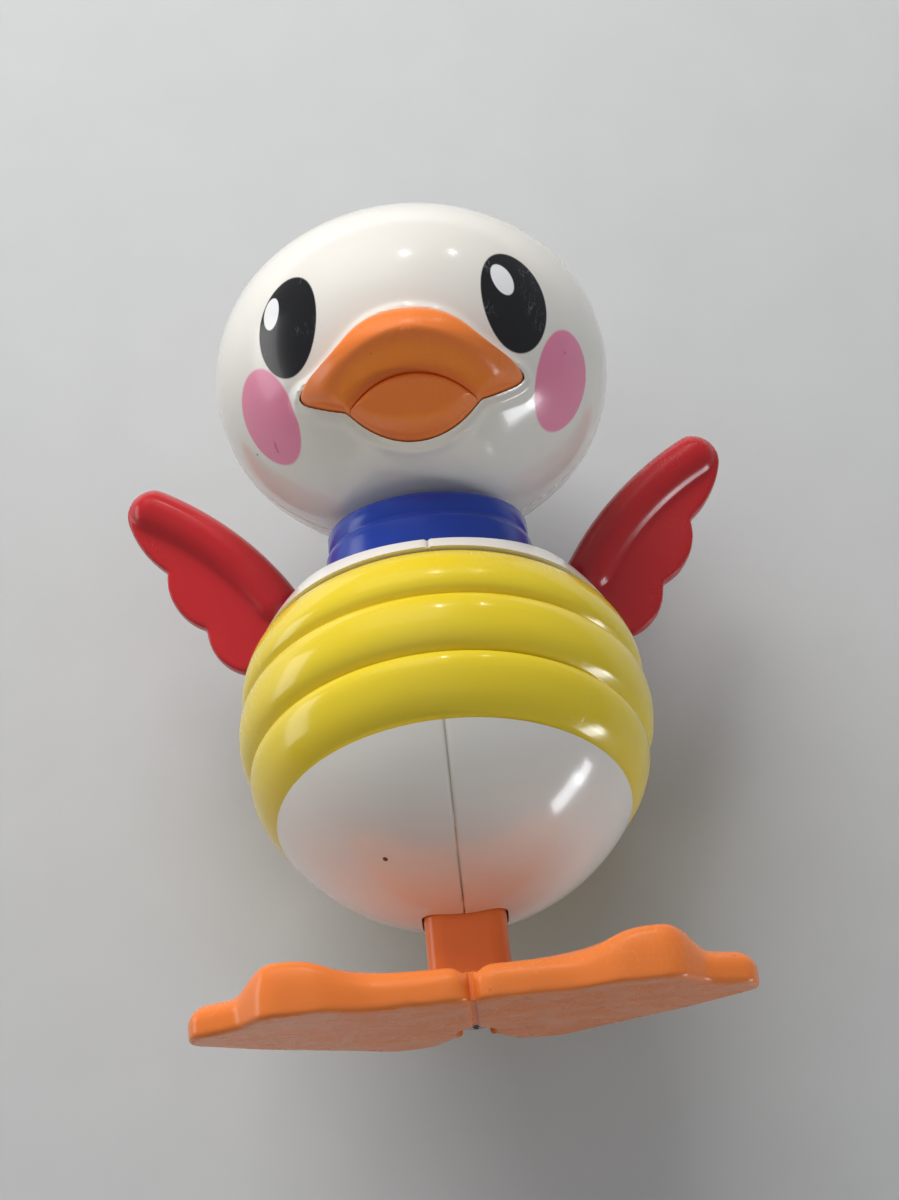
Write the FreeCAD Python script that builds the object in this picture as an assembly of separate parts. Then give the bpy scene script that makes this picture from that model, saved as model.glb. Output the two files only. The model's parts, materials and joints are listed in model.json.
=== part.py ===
import FreeCAD
import Part
import math
import os

from FreeCAD import Matrix, Vector

# Wind-up hopping bird: a ball-shaped body on one hopping leg, with flapping wings and a head that turns.
#
# Millimetres. The bird stands on z = 0 and looks along -Y, with +X at its left hand side. The origin is the
# foot of the leg's centre line. A spring motor between two plates sits inside the body: the key at the back
# winds it, the gears turn a crank, and the crank's pin moves the leg carriage, which also rocks both wings.

# ---- fits ----
slide_gap = 0.3          # around what slides or swings through a shell
run_gap = 0.05           # radial, a turning shaft in its hole
press_gap = 0.01         # radial, a shaft pressed into its hole
part_gap = 0.1           # between fixed pieces that face each other

# ---- body ----
body_radius = 36.0
wall = 2.0
body_clear_height = 18.5       # underside of the body above the floor
body_z = body_clear_height + body_radius
shoulder_height = 25.4         # the flat top, above the body's centre
band_depth = 2.8               # how far the band's seat is let in
band_tilt = 15.0               # degrees, front edge up
rib_pitch = 11.4
rib_count = 3
rib_crest = 0.5                # crest of a rib, outside the body's radius
rib_groove = 1.5               # bottom of a groove, inside the body's radius
band_low = -19.0               # lower edge, along the band's own axis
band_high = band_low + rib_count * rib_pitch
seam_width = 0.8
seam_depth = 0.5
boss_radius = 3.2
screw_radius = 1.25
screw_head_radius = 2.5
screw_head_height = 1.6
screw_bite = 6.0               # how far a body screw reaches past the seam, each side
body_screw_inset = 14.0        # boss centres, in from the body's radius
body_screw_heights = ((-1, -8.0), (1, -6.0), (-1, 10.0))   # front or back, and height from the centre

# ---- head and neck ----
head_radius = 36.2
head_half_height = 31.2
head_side_radius = 28.0
head_crown_radius = ((head_radius - head_side_radius) ** 2 + head_half_height ** 2
                     - head_side_radius ** 2) / (2 * (head_half_height - head_side_radius))
head_split_y = 4.0
lip_length = 2.0
lip_thickness = 1.1
collar_radius = 18.4
collar_height = 12.6
collar_dish = 1.8              # how far the collar's top rises towards the head
neck_bore = 9.0
neck_radius = 12.6
neck_flange = 14.3
neck_flange_height = 2.2
head_stem_radius = 10.9
head_flange_radius = 13.8
head_flange_height = 1.8
head_sink = 0.4                # the head's lowest point, below the collar's rim
head_z = body_z + shoulder_height + collar_height + head_half_height - head_sink

# ---- beak, seen from the front, from the head's centre ----
beak_half_width = 19.4
beak_top = -5.2
beak_corner_z = -14.4
beak_shoulder = (11.6, -9.4)
beak_lip_half_width = 11.0
beak_lip_top = -15.6
beak_lip_middle = -19.6
beak_lip_bottom = -24.0
beak_flange = 1.4
beak_reach = 41.5              # front of the upper beak, from the head's centre
beak_lip_proud = 3.0

# ---- wings ----
wing_plane_y = 16.0
wing_thickness = 3.0
wing_roll_radius = 4.0
wing_hinge_drop = 5.429        # of the pivot, below the underside of the flat top
wing_boss_radius = 3.0
wing_pin_radius = 1.25
wing_pin_length = 7.6
wing_lug_thickness = 1.8
lever_tip_radius = 1.7
lever_half_height = 1.0
lever_play = 0.3
flap_room = 24.0               # degrees that the slot leaves for the wing to rise

# ---- leg ----
foot_height = 6.5
foot_half_span = 47.4
foot_front = 23.5
foot_back = 8.6
toe_height = 9.7
toe_x = 29.2
foot_rounding = 2.2
hub_radius = 5.4
foot_slit = 0.6
stem_width = 14.2
stem_depth = 12.0
stem_corner = 3.0
stem_top_z = body_z - 20.5
hop_travel = 2.6
guide_radius = 11.5
guide_height = 3.0
guide_z = body_clear_height + 4.5
spring_clear = 0.67              # between the coil's inside and the stem's corners
spring_wire = 0.45
spring_turns = 4
foot_screw_radius = 1.5
foot_screw_head = 2.9
foot_screw_length = 14.0
foot_screw_sink = 2.6

# ---- carriage on top of the leg ----
carriage_half_width = 10.5
carriage_thickness = 2.0
yoke_y = -14.0
yoke_half_width = 7.0
fork_inner_x = 4.4
fork_outer_x = 11.4
fork_thickness = 2.2
fork_tip_x = 8.6

# ---- motor ----
plate_thickness = 1.5
plate_front_y = -9.5
plate_back_y = 9.0
plate_left = -15.5
plate_right = 18.0
plate_low = stem_top_z + 3.5
plate_high = body_z + 20.0
plate_hold = 1.0               # how far a rib takes hold of a plate's edge
pillar_radius = 1.25
module = 0.6
wheel_teeth = 36
pinion_teeth = 10
second_teeth = 30
tooth_slack = 0.06
arbor_radius = 1.75
arbor_z = body_z + 10.0
second_x = 9.5                 # the second arbor, to the side of the middle
axle_radius = 0.9
crank_shaft_radius = 1.0
pawl_x = -7.2                   # the click pawl's post, from the arbor
crank_throw = hop_travel / 2
crank_pin_radius = 1.0
crank_disc_radius = 3.0
ratchet_teeth = 12
ratchet_radius = 3.7
ratchet_root = 3.0
spring_strip = 0.4
mainspring_turns = 5
mainspring_inner = 2.7
mainspring_outer = 10.2
mainspring_width = 7.6

# ---- key ----
key_hub_radius = 3.4
key_hub_length = 5.0
key_half_width = 10.0
key_depth = 9.0
key_thickness = 2.6
key_gap = 1.0

X = Vector(1, 0, 0)
Y = Vector(0, 1, 0)
Z = Vector(0, 0, 1)
FAR = 90.0                     # longer than anything it cuts
body_centre = Vector(0, 0, body_z)
band_axis = Vector(0, math.sin(math.radians(band_tilt)), math.cos(math.radians(band_tilt)))
seat_radius = body_radius - band_depth


# ---- drawing ----
def rod(radius, start, direction, length):
    return Part.makeCylinder(radius, length, start, direction)


def block(low, high):
    size = Vector(*high) - Vector(*low)
    return Part.makeBox(size.x, size.y, size.z, Vector(*low))


def arc(start, middle, end):
    return Part.Arc(start, middle, end).toShape()


def line(start, end):
    return Part.makeLine(start, end)


def polygon(points):
    return [line(a, b) for a, b in zip(points, points[1:] + points[:1])]


def rounded(corners):
    """A closed outline in the floor plane from (x, y, corner radius) corners."""
    points = [Vector(x, y, 0) for x, y, _ in corners]
    joins = []
    for n, (x, y, radius) in enumerate(corners):
        here = points[n]
        before = (points[n - 1] - here).normalize()
        after = (points[(n + 1) % len(points)] - here).normalize()
        half = before.getAngle(after) / 2
        run = radius / math.tan(half)
        crown = (before + after).normalize() * (radius / math.sin(half) - radius)
        joins.append((here + before * run, here + crown, here + after * run, radius))
    edges = []
    for n, (start, middle, end, radius) in enumerate(joins):
        if radius:
            edges.append(arc(start, middle, end))
        following = joins[(n + 1) % len(joins)][0]
        if (following - end).Length > 0.001:
            edges.append(line(end, following))
    return edges


def extrude(edges, direction):
    return Part.Face(Part.Wire(Part.sortEdges(edges)[0])).extrude(direction)


def turn_about_z(points):
    """A full turn of a closed outline given as (radius, height) pairs."""
    edges = polygon([Vector(r, 0, z) for r, z in points])
    return Part.Face(Part.Wire(edges)).revolve(Vector(0, 0, 0), Z, 360)


def front_view(x, z, y=0.0):
    return Vector(x, y, z)


def mirrored(shape):
    """The same piece on the other side of the bird."""
    return shape.mirror(Vector(0, 0, 0), X)


def ball(radius):
    return Part.makeSphere(radius, body_centre)


def head_form(shrink=0.0):
    """The head's round form: a broad crown and chin joined by a tighter side, taken in evenly by shrink."""
    drop = head_crown_radius - head_half_height
    reach = head_radius - head_side_radius
    side_r = head_side_radius - shrink
    crown_r = head_crown_radius - shrink

    def at(radius, height):
        return Vector(0, radius, head_z + height)

    def crown(lean):
        return crown_r * math.sin(lean), crown_r * math.cos(lean) - drop

    join = math.atan2(reach, drop)
    pole = head_half_height - shrink
    join_r, join_h = crown(join)
    half_r, half_h = crown(join / 2)
    edges = [
        arc(at(0, -pole), at(half_r, -half_h), at(join_r, -join_h)),
        arc(at(join_r, -join_h), at(reach + side_r, 0), at(join_r, join_h)),
        arc(at(join_r, join_h), at(half_r, half_h), at(0, pole)),
        line(at(0, pole), at(0, -pole)),
    ]
    return Part.Face(Part.Wire(edges)).revolve(Vector(0, 0, head_z), Z, 360)


def slab_across_band(low, high):
    return rod(FAR, body_centre + band_axis * low, band_axis, high - low)


def side(sign, x=0.0):
    """Everything to one side of the seam."""
    if sign > 0:
        return block((x, -FAR, -FAR), (FAR, FAR, 2 * FAR))
    return block((-FAR, -FAR, -FAR), (-x, FAR, 2 * FAR))


def rounded_bar(half_x, half_y, corner, low, high):
    """An upright bar with rounded corners."""
    bar = block((-half_x, -half_y, low), (half_x, half_y, high))
    upright = [e for e in bar.Edges if abs(e.tangentAt(e.FirstParameter).z) > 0.99]
    return bar.makeFillet(corner, upright)


def pan_screw(start, direction, shank, head, length):
    """A screw whose head sits on start and whose shank runs along direction."""
    back = Vector(direction) * -1
    cap = rod(head, start, back, screw_head_height)
    rim = [e for e in cap.Edges if (e.BoundBox.Center - start).dot(back) > screw_head_height * 0.9]
    cap = cap.makeFillet(screw_head_height * 0.55, rim[:1])
    across = Vector(direction).cross(Y if abs(direction.y) < 0.9 else X)
    slots = []
    for turn in (0, 90):
        bar = Part.makeBox(head * 1.3, head * 0.26, screw_head_height * 0.6)
        bar.translate(Vector(-head * 0.65, -head * 0.13, screw_head_height * 0.55))
        bar.rotate(Vector(0, 0, 0), Z, turn)
        slots.append(bar)
    for bar in slots:
        bar.Placement = FreeCAD.Placement(start, FreeCAD.Rotation(Z, back)).multiply(bar.Placement)
        cap = cap.cut(bar)
    return cap.fuse(rod(shank, start, Vector(direction), length)).removeSplitter()


def save(name, shape):
    for solid in shape.Solids:
        if not solid.isValid():
            print("not valid:", name)
    Part.makeCompound(shape.Solids).exportStep("parts/%s.step" % name)
    print(name, len(shape.Solids), round(shape.Volume, 1))


# ---- where the wings turn ----
wing_section = math.sqrt((body_radius - wall) ** 2 - wing_plane_y ** 2)
wing_reach = wing_section - wing_boss_radius - 0.5
stem_reach = math.hypot(stem_width / 2 - stem_corner, stem_depth / 2 - stem_corner) + stem_corner
spring_coil_radius = stem_reach + spring_clear + spring_wire
hinge_rise = shoulder_height - wall - wing_hinge_drop
hinge_x = math.sqrt(wing_reach ** 2 - hinge_rise ** 2)
hinge_z = body_z + hinge_rise

# ---- where the gears turn ----
wheel_radius = module * wheel_teeth / 2
pinion_radius = module * pinion_teeth / 2
second_radius = module * second_teeth / 2
first_distance = wheel_radius + pinion_radius
second_distance = second_radius + pinion_radius
second_z = arbor_z - math.sqrt(first_distance ** 2 - second_x ** 2)
crank_z = second_z - math.sqrt(second_distance ** 2 - second_x ** 2)
ratchet_y = plate_front_y + plate_thickness + 0.4
wheel_y = ratchet_y + 1.8
second_y = wheel_y + 2.6
mainspring_y = second_y + 2.6
pillars = (
    (plate_left + 2.5, plate_high - 4.0),
    (plate_right - 4.5, plate_high - 2.5),
    (plate_left + 3.5, plate_low + 4.0),
    (plate_right - 3.0, plate_low + 2.5),
)


# ---- body shells ----
def body_outside():
    band_seat = slab_across_band(band_low, band_high).cut(ball(seat_radius))
    top = block((-FAR, -FAR, body_z + shoulder_height), (FAR, FAR, body_z + FAR))
    return ball(body_radius).cut(band_seat).cut(top)


def body_hollow():
    step = slab_across_band(band_low - wall, band_high + wall).cut(ball(seat_radius - wall))
    top = block((-FAR, -FAR, body_z + shoulder_height - wall), (FAR, FAR, body_z + FAR))
    return ball(body_radius - wall).cut(step).cut(top)


def seam_groove():
    """The shallow V that runs round the body where the shells meet."""
    points = [
        Vector(-seam_width / 2, 0, body_radius + 0.01),
        Vector(0, 0, body_radius - seam_depth),
        Vector(seam_width / 2, 0, body_radius + 0.01),
    ]
    groove = Part.Face(Part.Wire(polygon(points))).revolve(Vector(0, 0, 0), X, 360)
    groove.translate(body_centre)
    return groove


def body_screw_places():
    inset = body_radius - body_screw_inset
    return [Vector(0, way * inset, body_z + height) for way, height in body_screw_heights]


def wing_lugs():
    """Two plates on the shell's inside that hold a wing's pin, for the +X side."""
    lugs = []
    near = wing_plane_y - wing_thickness / 2 - slide_gap - wing_lug_thickness
    far = wing_plane_y + wing_thickness / 2 + slide_gap
    for low in (near, far):
        lugs.append(block(
            (hinge_x - 3.0, low, hinge_z - 3.0),
            (FAR, low + wing_lug_thickness, hinge_z + 3.0)))
    return lugs


def wing_slot():
    """Room for the wing's root in the +X shell, over its whole travel."""
    half = wing_thickness / 2 + slide_gap
    start = Vector(hinge_x, wing_plane_y - half, hinge_z)
    slot = rod(wing_boss_radius + slide_gap, start, Y, 2 * half)
    reach = body_radius - wing_reach + 9.0
    angles = [math.radians(a) for a in (-8.0, 35.0, 80.0 + flap_room)]
    ends = [start + Vector(reach * math.cos(a), 0, reach * math.sin(a)) for a in angles]
    fan = extrude([line(start, ends[0]), arc(*ends), line(ends[2], start)], Y * (2 * half))
    return slot.fuse(fan)


def plate_grips(sign):
    """Ribs that hold the edges of the two motor plates."""
    edge = plate_right if sign > 0 else plate_left
    inner = edge - sign * plate_hold
    grips = []
    for y in (plate_front_y, plate_back_y):
        low = (min(inner, sign * FAR), y - 2.0, body_z - 3.0)
        high = (max(inner, sign * FAR), y + plate_thickness + 2.0, body_z + 3.0)
        grip = block(low, high)
        grips.append(grip.cut(block(
            (plate_left - part_gap, y - part_gap, plate_low),
            (plate_right + part_gap, y + plate_thickness + part_gap, plate_high))))
    return grips


def body_shell(sign):
    outside = body_outside()
    shell = outside.cut(body_hollow())
    solid_side = side(sign)
    extras = [rod(boss_radius, p - X * FAR, X, 2 * FAR) for p in body_screw_places()]
    extras.append(rod(guide_radius + wall, Vector(0, 0, 0), Z, guide_z + guide_height + 1.0))
    lugs = wing_lugs()
    extras += lugs if sign > 0 else [mirrored(s) for s in lugs]
    extras += plate_grips(sign)
    for extra in extras:
        shell = shell.fuse(extra.common(outside))
    shell = shell.common(solid_side)
    shell = shell.cut(seam_groove())
    # the leg's passage and the guide's seat
    shell = shell.cut(rounded_bar(
        stem_width / 2 + slide_gap, stem_depth / 2 + slide_gap, stem_corner + slide_gap, 0, guide_z + 1))
    shell = shell.cut(rod(guide_radius + part_gap, Vector(0, 0, guide_z), Z, guide_height + 2.0))
    # the neck, the key's shaft and the wing
    shell = shell.cut(rod(neck_radius + slide_gap, Vector(0, 0, body_z), Z, FAR))
    shell = shell.cut(rod(arbor_radius + slide_gap, Vector(0, 0, arbor_z), Y, FAR))
    slot = wing_slot()
    pin_hole = rod(wing_pin_radius + press_gap, wing_pin_start(1), Y, wing_pin_length)
    if sign < 0:
        slot = mirrored(slot)
        pin_hole = mirrored(pin_hole)
    shell = shell.cut(slot).cut(pin_hole)
    for place in body_screw_places():
        shell = shell.cut(screw_passage(place, sign))
    return shell.removeSplitter()


def screw_passage(place, sign):
    """A pilot hole in the -X shell, a clear hole and a deep counterbore in the +X shell."""
    if sign < 0:
        return rod(screw_radius + press_gap, place, X * -1, screw_bite + 1.0)
    seat = place + X * screw_bite
    clear = rod(screw_radius + 0.2, place, X, screw_bite)
    return clear.fuse(rod(screw_head_radius + slide_gap, seat, X, FAR))


def body_screws():
    screws = []
    for place in body_screw_places():
        seat = place + X * screw_bite
        screws.append(pan_screw(seat, X * -1, screw_radius, screw_head_radius, 2 * screw_bite))
    return Part.makeCompound(screws)


def ribbed_band():
    """Three round ribs, turned about the band's own axis, over a round seat."""
    def on_ball(radius, height):
        return Vector(math.sqrt(radius ** 2 - height ** 2), 0, height)

    inner = seat_radius + part_gap
    low = band_low + part_gap
    high = band_high - part_gap
    heights = [band_low + n * rib_pitch for n in range(rib_count + 1)]
    heights[0] = low
    heights[-1] = high
    groove = body_radius - rib_groove
    edges = []
    for start, end in zip(heights, heights[1:]):
        crest = on_ball(body_radius + rib_crest, (start + end) / 2)
        edges.append(arc(on_ball(groove, start), crest, on_ball(groove, end)))
    edges.append(line(on_ball(groove, high), on_ball(inner, high)))
    edges.append(arc(on_ball(inner, high), on_ball(inner, (low + high) / 2), on_ball(inner, low)))
    edges.append(line(on_ball(inner, low), on_ball(groove, low)))
    band = Part.Face(Part.Wire(edges)).revolve(Vector(0, 0, 0), Z, 360)
    band.rotate(Vector(0, 0, 0), X, -band_tilt)
    band.translate(body_centre)
    return band


# ---- neck and head ----
def neck_collar():
    """Blue ring, with a flange held under the body's top and another inside the head."""
    seat = body_z + shoulder_height
    top = seat + collar_height
    ridge = seat + collar_height * 0.7
    shelf = head_z - head_half_height + wall + 3.2
    under = seat - wall - slide_gap
    return turn_about_z([
        (neck_bore, under - neck_flange_height),
        (neck_flange, under - neck_flange_height),
        (neck_flange, under),
        (neck_radius, under),
        (neck_radius, seat + 0.2),
        (collar_radius - 0.8, seat + 0.2),
        (collar_radius, seat + 1.0),
        (collar_radius + 0.3, (seat + ridge) / 2),
        (collar_radius, ridge - 0.4),
        (collar_radius - 0.5, ridge),
        (collar_radius - 0.5, top - 0.7),
        (collar_radius - 1.2, top),
        (head_stem_radius + 2.6, top + collar_dish - part_gap),
        (head_stem_radius, top + collar_dish - part_gap - 0.6),
        (head_stem_radius, shelf),
        (head_flange_radius, shelf),
        (head_flange_radius, shelf + head_flange_height),
        (neck_bore, shelf + head_flange_height),
    ])


def upper_beak_outline(grow, y):
    """The upper beak from the front: a round arch with drawn-out corners."""
    side_x, side_z = beak_shoulder
    top = front_view(0, head_z + beak_top + grow, y)
    shoulder = front_view(side_x + grow * 0.7, head_z + side_z + grow * 0.7, y)
    tip_high = front_view(beak_half_width + grow, head_z + beak_corner_z + 0.8, y)
    tip_low = front_view(beak_half_width - 0.4 + grow, head_z + beak_corner_z - 0.8 - grow * 0.3, y)
    low = front_view(beak_lip_half_width, head_z + beak_lip_middle + 0.8 - grow, y)
    half = [
        arc(top, front_view(7.0 + grow * 0.4, head_z + beak_top - 1.25 + grow * 0.9, y), shoulder),
        line(shoulder, tip_high),
        line(tip_high, tip_low),
        line(tip_low, low),
    ]
    return half + [mirrored(e) for e in half] + [line(low, front_view(-low.x, low.z, y))]


def lower_beak_outline(grow, y):
    """The lower beak from the front: a lens with round ends."""
    end = front_view(beak_lip_half_width + grow, head_z + beak_lip_middle, y)
    other = front_view(-end.x, end.z, y)
    top = front_view(0, head_z + beak_lip_top + grow, y)
    bottom = front_view(0, head_z + beak_lip_bottom - grow, y)
    return [arc(end, top, other), arc(other, bottom, end)]


def egg(centre, sizes):
    """A ball drawn out to three half sizes."""
    shape = Part.makeSphere(1.0)
    grow = Matrix()
    grow.scale(*sizes)
    grow.move(centre)
    return shape.transformGeometry(grow)


def beak_piece(outline, dome):
    """A beak moulding: its domed face outside the head, and a flange behind the shell."""
    face = extrude(outline(0.0, -FAR), Y * (FAR - 12.0)).common(dome).cut(head_form(wall + 1.0))
    layer = head_form(wall + part_gap).cut(head_form(wall + 1.6))
    flange = extrude(outline(beak_flange, -FAR), Y * (FAR - 12.0)).common(layer)
    return face, flange


def beaks():
    upper_dome = egg(Vector(0, -17.0, head_z - 11.5), (22.0, beak_reach - 17.0, 13.5))
    upper, upper_flange = beak_piece(upper_beak_outline, upper_dome)
    lower, lower_flange = beak_piece(lower_beak_outline, head_form(-beak_lip_proud))
    room = extrude(lower_beak_outline(part_gap, -FAR), Y * (FAR - 12.0))
    lower_flange = lower_flange.cut(extrude(upper_beak_outline(beak_flange + 0.2, -FAR), Y * FAR))
    upper = upper.fuse(upper_flange).cut(room).removeSplitter()
    neck_room = rod(head_flange_radius + 1.0, Vector(0, 0, body_z), Z, head_z - body_z)
    lower = lower.fuse(lower_flange).cut(neck_room).removeSplitter()
    return largest(upper), largest(lower)


def largest(shape):
    return max(shape.Solids, key=lambda s: s.Volume)


def beak_window():
    """The hole that both beak mouldings come through."""
    upper = extrude(upper_beak_outline(part_gap, -FAR), Y * (FAR - 12.0))
    lower = extrude(lower_beak_outline(part_gap, -FAR), Y * (FAR - 12.0))
    return upper.fuse(lower)


def head_seam():
    """A fine groove round the head where its two shells meet."""
    strip = block((-FAR, head_split_y - 0.15, 0), (FAR, head_split_y + 0.15, 3 * FAR))
    return head_form(-1.0).cut(head_form(0.3)).common(strip)


def head_shells():
    shell = head_form().cut(head_form(wall))
    shell = shell.cut(rod(head_stem_radius + slide_gap, Vector(0, 0, body_z), Z, head_z - body_z))
    shell = shell.cut(head_seam())
    split = block((-FAR, head_split_y, 0), (FAR, FAR, 3 * FAR))
    front = shell.cut(split)
    rear = shell.common(split)
    # a lip on the front shell centres the rear one
    root = head_form(wall / 2).cut(head_form(wall + lip_thickness))
    root = root.common(block((-FAR, head_split_y - 3, 0), (FAR, head_split_y, 3 * FAR)))
    lip = head_form(wall + part_gap / 2).cut(head_form(wall + lip_thickness))
    lip = lip.common(block((-FAR, head_split_y, 0), (FAR, head_split_y + lip_length, 3 * FAR)))
    neck = rod(head_flange_radius + 1.0, Vector(0, 0, body_z), Z, head_z - body_z)
    front = front.fuse(root.cut(neck)).fuse(lip.cut(neck)).cut(beak_window())
    return largest(front.removeSplitter()), largest(rear.removeSplitter())


# ---- wings ----
def wing():
    """The +X wing: a scalloped panel with a thick round leading edge, and a lever inside the body."""
    back = wing_plane_y - wing_thickness / 2

    def at(x, z):
        return Vector(hinge_x + x, back, hinge_z + z)

    start = at(6.3, 17.0)
    tip_high = at(30.6, 40.5)
    tip = at(35.6, 38.5)
    tip_low = at(36.3, 33.6)
    notch_one = at(29.0, 23.3)
    notch_two = at(22.5, 10.7)
    end = at(15.6, 1.7)
    inner = at(11.0, 4.5)
    panel = extrude([
        arc(start, at(17.0, 30.6), tip_high),
        arc(tip_high, tip, tip_low),
        arc(tip_low, at(33.6, 28.0), notch_one),
        arc(notch_one, at(28.4, 16.6), notch_two),
        arc(notch_two, at(20.6, 5.0), end),
        line(end, inner),
        line(inner, at(3.0, -0.6)),
        line(at(3.0, -0.6), at(0.6, 3.4)),
        line(at(0.6, 3.4), at(5.0, 12.0)),
        line(at(5.0, 12.0), start),
    ], Y * wing_thickness)
    boss = rod(wing_boss_radius, at(0, 0), Y, wing_thickness)
    lever = block(
        (fork_tip_x, back, hinge_z - lever_half_height),
        (hinge_x, back + wing_thickness, hinge_z + lever_half_height))
    tip_end = rod(lever_tip_radius, Vector(fork_tip_x, back, hinge_z), Y, wing_thickness)
    shape = panel.fuse(boss).fuse(lever).fuse(tip_end).fuse(wing_roll())
    shape = shape.cut(rod(wing_pin_radius + run_gap, at(0, 0) - Y, Y, wing_thickness + 2))
    return shape.removeSplitter()


def wing_roll():
    """The round leading edge, a bent tube with round ends."""
    def at(x, z):
        return Vector(hinge_x + x, wing_plane_y, hinge_z + z)

    start = at(9.4, 15.4)
    middle = at(19.4, 27.8)
    end = at(31.6, 36.4)
    path = Part.Wire([arc(start, middle, end)])
    direction = path.Edges[0].tangentAt(path.Edges[0].FirstParameter)
    ring = Part.Wire([Part.makeCircle(wing_roll_radius, start, direction)])
    roll = path.makePipeShell([ring], True, False)
    return roll.fuse(Part.makeSphere(wing_roll_radius, start)).fuse(Part.makeSphere(wing_roll_radius, end))


def wing_pin_start(sign):
    return Vector(sign * hinge_x, wing_plane_y - wing_pin_length / 2, hinge_z)


def wing_pin(sign):
    return rod(wing_pin_radius, wing_pin_start(sign), Y, wing_pin_length)


# ---- leg ----
def foot_outline():
    """One side's outline seen from above: hub, inner lobe, middle toe, outer toe, then the heel."""
    slit = foot_slit / 2
    front = -foot_front
    tip = foot_half_span
    return rounded([
        (slit, 2.0 - hub_radius, 0),
        (slit, front, 3.2),
        (toe_x - 12.6, front + 0.7, 12.0),
        (toe_x - 5.2, front - 1.8, 7.0),
        (toe_x + 4.3, front - 1.8, 5.0),
        (toe_x + 9.2, front + 4.2, 3.0),
        (tip - 1.2, front + 7.6, 3.0),
        (tip + 0.2, front + 12.6, 2.6),
        (0.76 * tip, foot_back - 11.2, 20.0),
        (0.46 * tip, foot_back - 3.6, 14.0),
        (0.30 * tip, foot_back + 0.8, 5.0),
        (0.15 * tip, foot_back, 4.0),
        (2.8, foot_back - 6.0, 2.6),
        (0, foot_back - 6.0, 0),
        (0, 2.0 - hub_radius, 0),
    ])


def feet():
    """Both webbed feet and the hub between them, in one moulding."""
    half = extrude(foot_outline(), Z * foot_height)
    rim = [e for e in half.Edges if e.BoundBox.ZMin > foot_height - 0.01 and e.BoundBox.XMax > 0.35]
    half = half.makeFillet(foot_rounding, rim)
    toe = egg(Vector(toe_x, 6.2 - foot_front, 2.0), (9.0, 8.5, toe_height - 2.0))
    web = egg(Vector(toe_x - 7.0, 12.0 - foot_front, 0), (16.0, 12.0, toe_height - 1.4))
    above = block((0, -FAR, 0), (FAR, FAR, FAR))
    web = web.common(extrude(foot_outline(), Z * FAR))
    half = half.fuse(toe.common(above)).fuse(web)
    both = half.fuse(mirrored(half))
    both = both.cut(rod(foot_screw_radius + 0.2, Vector(0, 0, 0), Z, FAR))
    both = both.cut(rod(foot_screw_head + 0.7, Vector(0, 0, 0), Z, foot_screw_sink))
    return both.removeSplitter()


def leg_stem():
    stem = rounded_bar(stem_width / 2, stem_depth / 2, stem_corner, foot_height, stem_top_z)
    pilot = rod(foot_screw_radius + press_gap, Vector(0, 0, foot_height), Z, foot_screw_length)
    upper = rod(screw_radius + press_gap, Vector(0, 0, stem_top_z - 9.0), Z, 9.0)
    return stem.cut(pilot).cut(upper)


def foot_screw():
    return pan_screw(Vector(0, 0, foot_screw_sink), Z, foot_screw_radius, foot_screw_head, foot_screw_length)


def leg_guide():
    """A bush for the stem that is also the return spring's seat."""
    bush = rod(guide_radius, Vector(0, 0, guide_z), Z, guide_height)
    return bush.cut(rounded_bar(
        stem_width / 2 + slide_gap, stem_depth / 2 + slide_gap, stem_corner + slide_gap, 0, FAR))


def return_spring():
    """An open coil between the guide and the carriage: half turns, each tilted to climb half a pitch."""
    low = guide_z + guide_height + spring_wire + part_gap
    high = stem_top_z - spring_wire - part_gap
    rise = (high - low) / (2 * spring_turns)
    wire = None
    for n in range(2 * spring_turns):
        sign = 1 if n % 2 == 0 else -1
        start = Vector(sign * spring_coil_radius, 0, low + rise * n)
        end = Vector(-sign * spring_coil_radius, 0, low + rise * (n + 1))
        axis = (end - start).cross(Y * -sign).normalize()
        face = Part.Face(Part.Wire([Part.makeCircle(spring_wire, start, Y)]))
        half = face.revolve((start + end) / 2, axis, 180)
        wire = half if wire is None else wire.fuse(half)
    return wire.removeSplitter()


def leg_carriage():
    """The base on the stem, the crank's yoke in front and the wings' fork behind."""
    back = wing_plane_y + fork_thickness / 2
    low = stem_top_z
    top = low + carriage_thickness
    shape = block((-carriage_half_width, yoke_y, low), (carriage_half_width, back, top))
    yoke = block((-yoke_half_width, yoke_y, low), (yoke_half_width, yoke_y + 2.0, crank_z + 8.0))
    half = crank_throw + crank_pin_radius + 0.4
    window = block((-half, yoke_y - 1, crank_z - half), (half, yoke_y + 3, crank_z + half + hop_travel))
    shape = shape.fuse(yoke.cut(window))
    for sign in (-1, 1):
        xs = sorted((sign * fork_inner_x, sign * fork_outer_x))
        bar = block((xs[0], back - fork_thickness, low), (xs[1], back, hinge_z + 4.0))
        room = lever_tip_radius + lever_play
        xs = sorted((sign * (fork_tip_x - room), sign * (fork_outer_x + 1)))
        notch = block((xs[0], back - fork_thickness - 1, hinge_z - room), (xs[1], back + 1, hinge_z + room))
        shape = shape.fuse(bar.cut(notch))
    shape = shape.cut(rod(screw_radius + 0.2, Vector(0, 0, low - 1), Z, 6.0))
    return shape.removeSplitter()


def carriage_screw():
    seat = Vector(0, 0, stem_top_z + carriage_thickness)
    return pan_screw(seat, Z * -1, screw_radius, screw_head_radius, 9.0)


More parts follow.
